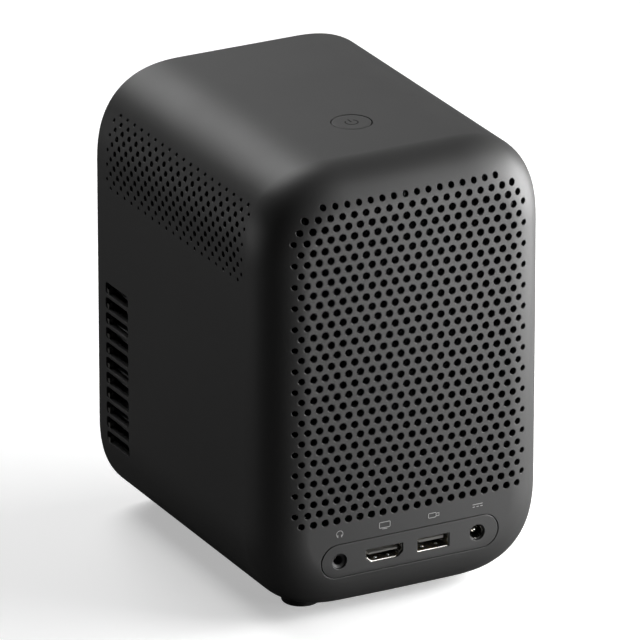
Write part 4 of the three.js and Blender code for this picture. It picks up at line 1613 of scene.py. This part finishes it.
@dataclass
class Sockets:
    """The four sockets behind the plate: formed shells, contact tongues and jacks."""

    set_back: float = 0.35

    def build(self, end: EndForm) -> list[bpy.types.Object]:
        """Builds every socket.

        Args:
            end: The rear face, behind which the mouths lie.

        Returns:
            The pieces.
        """
        video = Sleeve("video_shell", "hdmi_shell", video_outline(14.3, 4.8), 2.45, 2.2)
        data = Sleeve("usb_sleeve", "usb_shell", rounded_outline(12.5, 4.9, 0.5, 24)[0], 2.8, 3.3)
        video_tongue = Tongue("video_tongue", "hdmi_tongue", "black_plastic", 11.4, 0.0, 0.8, 0.9, 9)
        data_tongue = Tongue("usb_blade", "usb_tongue", "white_plastic", 9.8, 0.35, 1.5, 1.25, 4)
        pieces = []
        for sleeve, tongue in ((video, video_tongue), (data, data_tongue)):
            box = box_mm(sleeve.node)
            centre = box.mean(axis=0)
            mouth = self._mouth(centre[0], centre[2], end)
            pieces += sleeve.build(box, mouth) + tongue.build(centre, box[0, 1] + 0.4, mouth)
        return pieces + self._headphone_jack(end) + self._power_jack(end)

    def _mouth(self, x: float, z: float, end: EndForm) -> float:
        """Depth at which a socket's mouth lies behind the face."""
        points, _ = end.place(np.array([[x, z]]))
        return float(points[0, 1]) - self.set_back

    def _headphone_jack(self, end: EndForm) -> list[bpy.types.Object]:
        """A countersunk collar with a contact ring deep in its bore.

        Args:
            end: The rear face.

        Returns:
            Both pieces.
        """
        level = box_mm("socket_panel").mean(axis=0)[2]
        spot = np.array([box_mm("headphone_jack").mean(axis=0)[0], 0.0, level])
        mouth = self._mouth(spot[0], level, end) - 0.2
        bottom = mouth - 10.8
        rim = [(2.72, mouth - 6), (2.72, mouth - 0.08), (2.64, mouth)]
        bevel = [*rim, (1.8, mouth - 0.62), (1.75, mouth - 0.75)]
        body = [(1.75, bottom), (0.0, bottom), (0.0, bottom - 0.8), (3.4, bottom - 0.8), (3.4, mouth - 6)]
        headphone = skinned("headphone_collar", revolved(bevel + body, spot, Axis.Y), Finish.DARK_SHELL)
        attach(headphone, "root")
        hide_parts("headphone_jack")
        leaf = revolved([(1.76, mouth - 5.5), (1.76, mouth - 4.9), (1.45, mouth - 5.2)], spot, Axis.Y, 40)
        contact = skinned("headphone_contact", leaf, Finish.NICKEL, cyclic=True)
        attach(contact, "root")
        return [headphone, contact]

    def _power_jack(self, end: EndForm) -> list[bpy.types.Object]:
        """A barrel with a thin metal sleeve and a round-nosed centre pin.

        Args:
            end: The rear face.

        Returns:
            The three pieces.
        """
        level = box_mm("socket_panel").mean(axis=0)[2]
        spot = np.array([box_mm("power_jack_pin").mean(axis=0)[0], 0.0, level])
        mouth, back = self._mouth(spot[0], level, end) - 0.45, box_mm("power_jack")[0, 1]
        floor, tip = mouth - 9, mouth - 1.6
        outside = [(3.9, back + 3), (3.9, mouth - 2.4), (2.9, mouth - 2.2), (2.9, mouth - 0.1), (2.8, mouth)]
        inside = [(2.62, mouth - 0.1), (2.62, floor), (0.0, floor), (0.0, back), (3.9, back)]
        power = skinned("power_barrel", revolved(outside + inside, spot, Axis.Y), Finish.SOCKET_BLACK)
        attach(power, "root")
        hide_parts("power_jack")
        lip = [(2.6, mouth - 0.35), (2.5, mouth - 0.25), (2.38, mouth - 0.4)]
        lining = revolved([(2.6, floor + 2), *lip, (2.38, floor + 2)], spot, Axis.Y)
        sleeve = skinned("power_sleeve", lining, Finish.NICKEL, cyclic=True)
        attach(sleeve, "root")
        nose = arc((0.1, tip - 0.85), 0.85, 0, 84, 7)
        pin = revolved([(0.0, floor), (0.95, floor), *nose, (0.0, tip)], spot, Axis.Y, 40)
        post = skinned("power_post", pin, Finish.NICKEL)
        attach(post, "root")
        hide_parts("power_jack_pin")
        return [power, sleeve, post]


def ring_at(outline: np.ndarray, centre: np.ndarray, y: float) -> np.ndarray:
    """An (x, z) outline as a ring of 3-D points at one depth."""
    return at_depth(outline + centre[[0, 2]], y)


# ---------------------------------------------------------------- printed marks


Placement = Callable[[np.ndarray], tuple[np.ndarray, np.ndarray]]


@dataclass(frozen=True)
class Stroke:
    """One line of a mark: its path on the surface's own plane, its width and whether it joins its start."""

    path: np.ndarray
    width: float = 0.26
    closed: bool = False
    sunk: float = 0.03

    def moved(self, centre: Sequence[float]) -> "Stroke":
        """The line as seen from behind, where x runs the other way, round a centre."""
        return Stroke(self.path * [-1, 1] + centre, self.width, self.closed)

    def ribbon(self, place: Placement, ink: float) -> tuple[np.ndarray, bool]:
        """Lays the line on a surface.

        Each path point gets four corners: half the width to either side, just under the surface and above it
        by the ink's thickness.

        Args:
            place: Puts plane points on the surface, with normals.
            ink: Thickness of the ink.

        Returns:
            Rings for welded, and whether they are cyclic.
        """
        if self.closed:
            ahead = np.roll(self.path, -1, axis=0) - np.roll(self.path, 1, axis=0)
        else:
            ahead = np.gradient(self.path, axis=0)
        across = np.stack([-ahead[:, 1], ahead[:, 0]], axis=1)
        across *= self.width / 2 / np.linalg.norm(across, axis=1, keepdims=True)
        corners = []
        for side, lift in ((-1, -self.sunk), (1, -self.sunk), (1, ink), (-1, ink)):
            points, normals = place(self.path + side * across)
            corners.append(points + lift * normals)
        return np.stack(corners, axis=1), self.closed


@dataclass
class Marks:
    """Plain symbols printed over the sockets, as thin raised ink, and a raised symbol on the button whose
    dark colour is painted shade standing in for an engraved mark.
    """

    ink: float = 0.035
    above_plate: float = 10.4

    def over_sockets(self, end: EndForm) -> bpy.types.Object:
        """Prints one symbol over each socket of the rear face.

        Args:
            end: The rear face.

        Returns:
            All four symbols as one piece.
        """
        panel = SocketPanel()
        ribbons = []
        for name, strokes in self._symbols().items():
            centre = (panel.spots[name][0], panel.centre[2] + self.above_plate)
            ribbons += [stroke.moved(centre).ribbon(end.place, self.ink) for stroke in strokes]
        piece = welded("socket_marks", ribbons, Finish.PRINT)
        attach(piece, "root")
        return piece

    @staticmethod
    def _symbols() -> dict[str, list[Stroke]]:
        """Headphones, a screen on a foot, a memory stick, and a line over three dashes for direct current.

        Returns:
            Each socket's lines, by the name of its spot.
        """

        def line(*points: tuple[float, float], width: float = 0.26) -> Stroke:
            """A straight or bent line through points."""
            return Stroke(np.array(points), width)

        band = Stroke(np.array(arc((0, 0), 1.25, -40, 220, 23)), 0.24)
        cups = [line((side * 0.75, -0.3), (side * 0.75, -1.25), width=0.4) for side in (-1, 1)]
        screen = Stroke(rounded_outline(4.2, 2.1, 0.3, 16)[0] + [0, 0.25], closed=True)
        stand = [line((-1.0, -1.25), (1.0, -1.25)), line((0.0, -0.8), (0.0, -1.2))]
        stick = Stroke(rounded_outline(3.0, 1.7, 0.35, 16)[0] + [-0.6, 0], 0.24, True)
        plug = [line((0.9, side * 0.5), (2.2, side * 0.5), width=0.24) for side in (-1, 1)]
        plug.append(line((2.1, -0.5), (2.1, 0.5), width=0.24))
        dashes = [line((x - 0.45, -0.35), (x + 0.45, -0.35)) for x in (-1.55, 0.0, 1.55)]
        return {
            "headphone_jack": [band, *cups],
            "hdmi_shell": [screen, *stand],
            "usb_shell": [stick, *plug],
            "power_jack": [line((-2.0, 0.55), (2.0, 0.55)), *dashes],
        }

    def on_button(self, centre: np.ndarray, top: float, radius: float = 2.25) -> bpy.types.Object:
        """An open ring with a bar through its gap, which faces the lens, in a dark colour that is painted
        shade standing in for an engraved mark.

        Args:
            centre: (x, y) of the button.
            top: Height of the cap's face.
            radius: Radius of the ring.

        Returns:
            The mark.
        """

        def place(points: np.ndarray) -> tuple[np.ndarray, np.ndarray]:
            """Lays plane points on the cap, whose outward side is up."""
            lifted = np.stack([points[:, 0], points[:, 1], np.full(len(points), top)], axis=1)
            return lifted, np.tile([0.0, 0.0, 1.0], (len(points), 1))

        ring = Stroke(np.array(arc(centre, radius, -50, 230, 40)), 0.42)
        bar = Stroke(centre + np.array([[0.0, -0.2], [0.0, -radius - 0.6]]), 0.42)
        ribbons = [stroke.ribbon(place, self.ink) for stroke in (ring, bar)]
        # The mark's dark colour is painted shade, standing in for the shade inside an engraved symbol.
        piece = welded("power_mark", ribbons, Finish.ENGRAVED_SHADE)
        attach(piece, "button")
        return piece


# ---------------------------------------------------------------- button and feet


@dataclass
class PowerButton:
    """The round cap in the top, with its flange, stem and a dark mark whose colour is painted shade of an
    engraved symbol.
    """

    cap_radius: float = 7.1
    edge: float = 0.35

    def build(self) -> list[bpy.types.Object]:
        """Builds the cap and its mark.

        Returns:
            Both pieces.
        """
        low, high = box_mm("power_button")
        centre = (low + high) / 2
        top, flange = high[2], high[2] - 2.5
        profile = [
            (0.0, low[2]),
            (1.8, low[2]),
            (1.8, flange - 1.0),
            (high[0] - 0.1, flange - 1.0),
            (high[0] - 0.1, flange),
            (self.cap_radius, flange),
            *arc((self.cap_radius - self.edge, top - self.edge), self.edge, 0, 90, 6),
            (self.cap_radius - 1.6, top - 0.02),
            (self.cap_radius - 3.0, top - 0.05),
            (0.0, top - 0.06),
        ]
        rings = revolved(profile, [centre[0], centre[1], 0], Axis.Z, 96)
        cap = skinned("button_cap", rings, Finish.DARK_SHELL)
        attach(cap, "button")
        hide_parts("power_button")
        mark = Marks().on_button(centre[:2], top - 0.055)
        return [cap, mark]


@dataclass
class Feet:
    """Four round rubber feet with an eased edge and a shallow ring in the sole."""

    places: ClassVar[tuple[str, ...]] = ("front_left", "front_right", "rear_left", "rear_right")
    edge: float = 0.7

    def build(self) -> list[bpy.types.Object]:
        """Builds the feet.

        Returns:
            The four feet.
        """
        pieces = []
        for place in self.places:
            node = f"foot_{place}"
            low, high = box_mm(node)
            centre, radius = (low + high) / 2, (high[0] - low[0]) / 2
            profile = [
                (0.0, low[2] + 0.25),
                (radius * 0.55, low[2] + 0.25),
                (radius * 0.62, low[2]),
                *arc((radius - self.edge, low[2] + self.edge), self.edge, -90, 0, 7),
                (radius, high[2]),
                (0.0, high[2]),
            ]
            rings = revolved(profile, [centre[0], centre[1], 0], Axis.Z, 72)
            foot = skinned(f"rubber_{place}", rings, Finish.RUBBER)
            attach(foot, "root")
            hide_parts(node)
            pieces.append(foot)
        return pieces


# ---------------------------------------------------------------- front


@dataclass
class FrontFace:
    """The crowned front panel with its lens, sensor and light openings."""

    wall: float = 1.8
    chamfer: float = 0.25
    gap: float = 0.3
    rise: float = 1.9
    reach: float = 26.0
    power: float = 2.2
    set_in: float = 2.6
    edge_inset: float = 1.0
    shoulder: float = 0.8
    clearance: float = 0.8
    border_points: int = 200
    ring_insets: tuple[float, ...] = (2.2, 4, 7, 11, 16, 22, 26, 32)

    def __post_init__(self) -> None:
        """Reads the panel's place from the frame."""
        self.low, self.high = box_mm("front_panel")
        self.section = Section(self.low[[0, 2]], self.high[[0, 2]], Section.reach - self.set_in)
        self.lens = box_mm("lens_bezel")
        self.window = box_mm("sensor_window")
        self.light = box_mm("status_light")

    def place(self, flat: np.ndarray) -> tuple[np.ndarray, np.ndarray]:
        """Puts (-x, z) points on the panel.

        Depth is front + rise (1 - s)^power, where front is the panel's foremost depth and s is the inset over
        the reach, held between 0 and 1. The normal comes from that depth's slope.

        Args:
            flat: (n, 2) array.

        Returns:
            3-D points and outward normals.
        """
        points = flat * [-1, 1]
        inset, outward = self.section.inset_of(points)
        share = np.clip(1 - inset / self.reach, 0.0, 1.0)
        depth = self.low[1] + self.rise * share**self.power
        slope = self.rise * self.power / self.reach * share ** (self.power - 1)
        normal = at_depth(outward * slope[:, None], -1.0)
        normal /= np.linalg.norm(normal, axis=1, keepdims=True)
        return at_depth(points, depth), normal

    def build(self) -> bpy.types.Object:
        """Builds the panel as one wall with a returned edge.

        Returns:
            The panel.
        """
        shape = Shape()
        stations = self.section.length * np.arange(self.border_points) / self.border_points
        outline, _ = self.section.place(stations, self.edge_inset)
        border = (outline * [-1, 1])[::-1]
        openings = self._openings()
        rings = [self.section.place(stations[::3], inset)[0] for inset in self.ring_insets]
        extra = clear_of(np.concatenate(rings) * [-1, 1], openings, self.clearance)
        outer, inner = Wall(self.place, self.wall, self.chamfer).build(shape, border, openings, extra)
        flat, out = (array[::-1] for array in self.section.place(stations, 0.0))
        deep = self.place(border)[0][:, 1]
        normals = at_depth(out, 0.0)
        shoulder = shape.add_points(at_depth(flat, deep + self.shoulder), normals)
        skirt = at_depth(flat, self.high[1])
        skirt_loop = shape.add_points(skirt, normals)
        back = shape.add_points(skirt - normals * self.wall)
        for near, far in ((shoulder, outer), (back, skirt_loop), (inner, back)):
            shape.join_loops(near, far)
        shape.join_loops(skirt_loop, shoulder, smooth=True)
        piece = shape.make("front_cover", Finish.FRONT_PANEL)
        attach(piece, "root")
        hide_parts("front_panel")
        return piece

    def _openings(self) -> list[np.ndarray]:
        """Outlines, in (-x, z), of the lens, window and light openings.

        Returns:
            One group for each opening.
        """
        middles = [box.mean(axis=0)[[0, 2]] * [-1, 1] for box in (self.lens, self.window, self.light)]
        widths = [np.ptp(box, axis=0)[[0, 2]] + 2 * self.gap for box in (self.lens, self.window, self.light)]
        lens = circles(middles[0][None], widths[0][:1] / 2, 96)
        window = rounded_outline(*widths[1], widths[1][1] / 2 - 0.02, 48) + middles[1]
        light = circles(middles[2][None], widths[2][:1] / 2, 24)
        return [lens, window, light]


@dataclass
class LensFront:
    """The bezel, lens elements, cell and sensor window seen from the front."""

    bore: float = 16.5
    throat: float = 16.6
    rim_width: float = 1.9
    baffles: int = 6

    def build(self) -> list[bpy.types.Object]:
        """Builds the pieces."""
        return [self._bezel(), self._cell(), *self._glasses(), *self._window()]

    def _bezel(self) -> bpy.types.Object:
        """A flared ring with stepped light baffles inside.

        Returns:
            The ring.
        """
        low, high = box_mm("lens_bezel")
        centre = (low + high) / 2
        outer, front, back = (high[0] - low[0]) / 2, low[1], high[1]
        lip = [(outer, front + 5), (outer, front + 0.9), *arc((outer - 0.55, front + 0.55), 0.55, 0, -90, 5)]
        start = outer - self.rim_width
        flare = [(outer - 1.6, front + 0.12), (start, front + 0.5)]
        reach = start - self.throat
        for step in range(1, self.baffles + 1):
            radius = start - reach * step / self.baffles
            depth = front + 0.5 + (back - front - 1.6) * step / self.baffles
            flare += [(radius + reach / self.baffles * 0.15, depth - 0.25), (radius, depth)]
        profile = [*lip, *flare, (self.bore, back - 0.5), (self.bore, back), (18.0, back)]
        rings = revolved(profile, [centre[0], 0, centre[2]], Axis.Y, 112)
        piece = skinned("lens_surround", rings, Finish.GLOSS_BLACK, True)
        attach(piece, "root")
        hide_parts("lens_bezel")
        return piece

    def _cell(self) -> bpy.types.Object:
        """The sliding cell, whose mouth steps down to the front element.

        Returns:
            The cell.
        """
        low, high = box_mm("lens_cell")
        centre = (low + high) / 2
        outer, front, back = (high[0] - low[0]) / 2, low[1], high[1]
        profile = [
            (outer, back),
            (outer, front + 0.4),
            (outer - 0.3, front),
            (13.1, front),
            (12.9, front + 0.25),
            (12.6, front + 0.3),
            (12.3, front + 0.6),
            (12.3, back - 5.0),
            (10.5, back - 3.0),
            (10.5, back),
        ]
        rings = revolved(profile, [centre[0], 0, centre[2]], Axis.Y, 80)
        piece = skinned("focus_cell", rings, Finish.BLACK_PLASTIC, True)
        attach(piece, "lens_group")
        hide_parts("lens_cell")
        return piece

    def _glasses(self) -> list[bpy.types.Object]:
        """Both lens elements, each a spherical front over a flat back.

        Returns:
            Both elements.
        """
        pieces = []
        for node, name, crown in (("front_lens", "front_element", 2.3), ("rear_lens", "rear_element", 1.6)):
            low, high = box_mm(node)
            centre, radius = (low + high) / 2, (high[2] - low[2]) / 2
            share = np.linspace(0, 1, 14)
            dome = [(radius * s, low[1] + crown * s * s) for s in share]
            profile = [*dome, (radius, high[1]), (0.0, high[1])]
            rings = revolved(profile, [centre[0], 0, centre[2]], Axis.Y, 72)
            glass = skinned(name, rings, Finish.LENS_GLASS)
            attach(glass, "lens_group")
            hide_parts(node)
            pieces.append(glass)
        return pieces

    def _window(self) -> list[bpy.types.Object]:
        """The sensor window, with two small lenses and a projector dot behind the gloss.

        Returns:
            The window, its rings and its eyes.
        """
        low, high = box_mm("sensor_window")
        centre, size = (low + high) / 2, high - low
        outline = rounded_outline(size[0], size[2], size[2] / 2 - 0.02, 48)[0]
        depths = [(0.0, high[1]), (0.0, low[1] + 0.35), (-0.12, low[1] + 0.08), (-0.4, low[1])]
        rings = [ring_at(grown(outline, grow), centre, y) for grow, y in depths]
        window = skinned("sensor_pane", np.stack(rings), Finish.GLOSS_BLACK)
        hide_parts("sensor_window")
        face, under = low[1], low[1] + 0.2
        eyes, lenses = [], []
        for x, radius in ((-8.5, 2.3), (8.5, 2.3), (0.0, 1.2)):
            spot, glass = [centre[0] + x, 0, centre[2]], radius - 0.6
            edge = face - 0.12
            ring = [(radius, under), (radius, edge), (radius - 0.35, edge), (radius - 0.45, under)]
            dome = [(0.0, face - 0.16), (glass * 0.5, edge), (glass, face), (glass, under), (0.0, under)]
            eyes.append((revolved(ring, spot, Axis.Y, 40), True))
            lenses.append((revolved(dome, spot, Axis.Y, 32), False))
        rim = welded("sensor_rings", eyes, Finish.STEEL)
        eye = welded("sensor_eyes", lenses, Finish.LENS_GLASS)
        pieces = [window, rim, eye]
        for piece in pieces:
            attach(piece, "root")
        return pieces


# ---------------------------------------------------------------- frame nodes


@dataclass
class CarriedOver:
    """The CAD nodes that keep their shape and get their finish here."""

    def dress(self) -> int:
        """Gives every CAD node the finish of its material slot.

        Returns:
            How many nodes were dressed.
        """
        finishes = {finish.value.name: finish for finish in Finish}
        for row in frame["record"]["subparts"]:
            node = frame["nodes"][row["node"]]
            paint = PAINTS.of(finishes[row["material_slot"]])
            node.data.materials.clear()
            node.data.materials.append(paint)
        return len(frame["record"]["subparts"])


# ---------------------------------------------------------------- studio


@dataclass(frozen=True)
class Softbox:
    """A rectangular soft light, in metres and watts."""

    name: str
    place: tuple[float, float, float]
    size: tuple[float, float]
    watts: float

    def build(self, target: Vector) -> None:
        """Hangs the light and aims it at the target.

        Args:
            target: What it points at.
        """
        data = bpy.data.lights.new(self.name, "AREA")
        data.shape, data.size, data.size_y = "RECTANGLE", self.size[0], self.size[1]
        data.energy = self.watts
        light = bpy.data.objects.new(self.name, data)
        light.location = self.place
        light.rotation_euler = (target - light.location).to_track_quat("-Z", "Y").to_euler()
        bpy.context.scene.collection.objects.link(light)


@dataclass
class Studio:
    """The pale floor, soft lights and camera."""

    focal_mm: float = 507.6
    sensor_mm: float = 36.0
    azimuth: float = 152.197
    elevation: float = 22.043
    camera_from_lattice: tuple[float, float, float] = (1.3792, 2.5469, 1.1843)
    softboxes: tuple[Softbox, ...] = (
        Softbox("front_middle", (0.05, -0.75, 0.6), (0.5, 0.35), 1.95),
        Softbox("front_high", (0.1, -0.5, 0.9), (0.6, 0.4), 3.2),
        Softbox("front_right", (-0.4, -0.75, 0.4), (0.4, 0.35), 0.27),
        Softbox("floor_strip", (-0.35, 0.45, 0.02), (0.3, 0.06), 2.0),
        Softbox("right_low", (-0.45, 0.1, 0.1), (0.3, 0.4), 5.2),
        Softbox("right_rear", (-0.45, 0.35, 0.15), (0.3, 0.4), 2.0),
        Softbox("right_rear_high", (-0.4, 0.35, 0.45), (0.35, 0.35), 1.4),
        Softbox("left_low", (0.8, -0.25, 0.08), (0.5, 0.15), 0.7),
        Softbox("left_front", (0.7, -0.6, 0.15), (0.4, 0.3), 0.4),
    )

    def build(self) -> None:
        """Sets up everything around the projector."""
        self._camera()
        self._floor()
        self._world()
        low, high = box_mm("housing") * METRES
        for softbox in self.softboxes:
            softbox.build(Vector((0, 0, (low[2] + high[2]) / 2)))
        bpy.context.scene.view_settings.view_transform = "Standard"

    def _camera(self) -> None:
        """A long lens that looks down on the rear corner."""
        data = bpy.data.cameras.new("camera")
        data.lens, data.sensor_width, data.sensor_fit = self.focal_mm, self.sensor_mm, "HORIZONTAL"
        data.clip_end = 50.0
        camera = bpy.data.objects.new("camera", data)
        bpy.context.scene.collection.objects.link(camera)
        low, high = box_mm("housing") * METRES
        lattice = Vector((0.0, high[1], low[2] + RearGrille.centre_height * METRES))
        camera.location = lattice + Vector(self.camera_from_lattice)
        turn, lift = math.radians(self.azimuth), math.radians(self.elevation)
        back = Vector((math.sin(turn) * math.cos(lift), -math.cos(turn) * math.cos(lift), math.sin(lift)))
        camera.rotation_euler = (-back).to_track_quat("-Z", "Y").to_euler()
        bpy.context.scene.camera = camera

    def _floor(self) -> None:
        """A wide floor with a faint mottle, pale and partly glowing to the camera.

        To every other ray it is dark and doesn't glow, so it throws little light back at the object.
        """
        graph = Graph("floor")
        pale = graph.blend(graph.noise(3.0, 2.0), (0.88, 0.88, 0.88), (0.92, 0.92, 0.92))
        seen = graph.value("ShaderNodeLightPath", output="Is Camera Ray")
        material = graph.surface(
            {
                "Base Color": graph.blend(seen, (0.08, 0.08, 0.08), pale),
                "Roughness": 0.9,
                "Specular IOR Level": 0.0,
                "Emission Color": graph.blend(seen, (0.0, 0.0, 0.0), (0.4, 0.4, 0.4)),
                "Emission Strength": 1.0,
            }
        )
        mesh = bpy.data.meshes.new("floor")
        reach = 12.0
        corners = [(-reach, -reach, 0), (reach, -reach, 0), (reach, reach, 0), (-reach, reach, 0)]
        mesh.from_pydata(corners, [], [(0, 1, 2, 3)])
        mesh.materials.append(material)
        floor = bpy.data.objects.new("floor", mesh)
        bpy.context.scene.collection.objects.link(floor)

    def _world(self) -> None:
        """A surround that is white to the camera and black to every other ray, so it lights nothing."""
        world = bpy.data.worlds.new("surround")
        world.use_nodes = True
        tree = world.node_tree
        tree.nodes.clear()
        seen, dim = (tree.nodes.new("ShaderNodeBackground") for _ in range(2))
        seen.inputs["Color"].default_value = (1, 1, 1, 1)
        dim.inputs["Color"].default_value = (0.0, 0.0, 0.0, 1)
        path, mix = tree.nodes.new("ShaderNodeLightPath"), tree.nodes.new("ShaderNodeMixShader")
        output = tree.nodes.new("ShaderNodeOutputWorld")
        tree.links.new(path.outputs["Is Camera Ray"], mix.inputs[0])
        tree.links.new(dim.outputs[0], mix.inputs[1])
        tree.links.new(seen.outputs[0], mix.inputs[2])
        tree.links.new(mix.outputs[0], output.inputs["Surface"])
        bpy.context.scene.world = world


def main() -> None:
    """Builds the projector's looks in order and reports each piece."""
    logging.basicConfig(level=logging.INFO, format="%(name)s: %(message)s")
    Studio().build()
    LOG.info("dressed %d frame nodes", CarriedOver().dress())
    housing = Housing()
    made = [housing.build(), SlotLightBlocks().build(), SocketPanel().build(housing.end)]
    made += [*Sockets().build(housing.end), Marks().over_sockets(housing.end)]
    made += [*PowerButton().build(), *Feet().build()]
    made += [FrontFace().build(), *LensFront().build()]
    for piece in made:
        LOG.info("%s: %d faces", piece.name, len(piece.data.polygons))


if __name__ == "__main__":
    main()
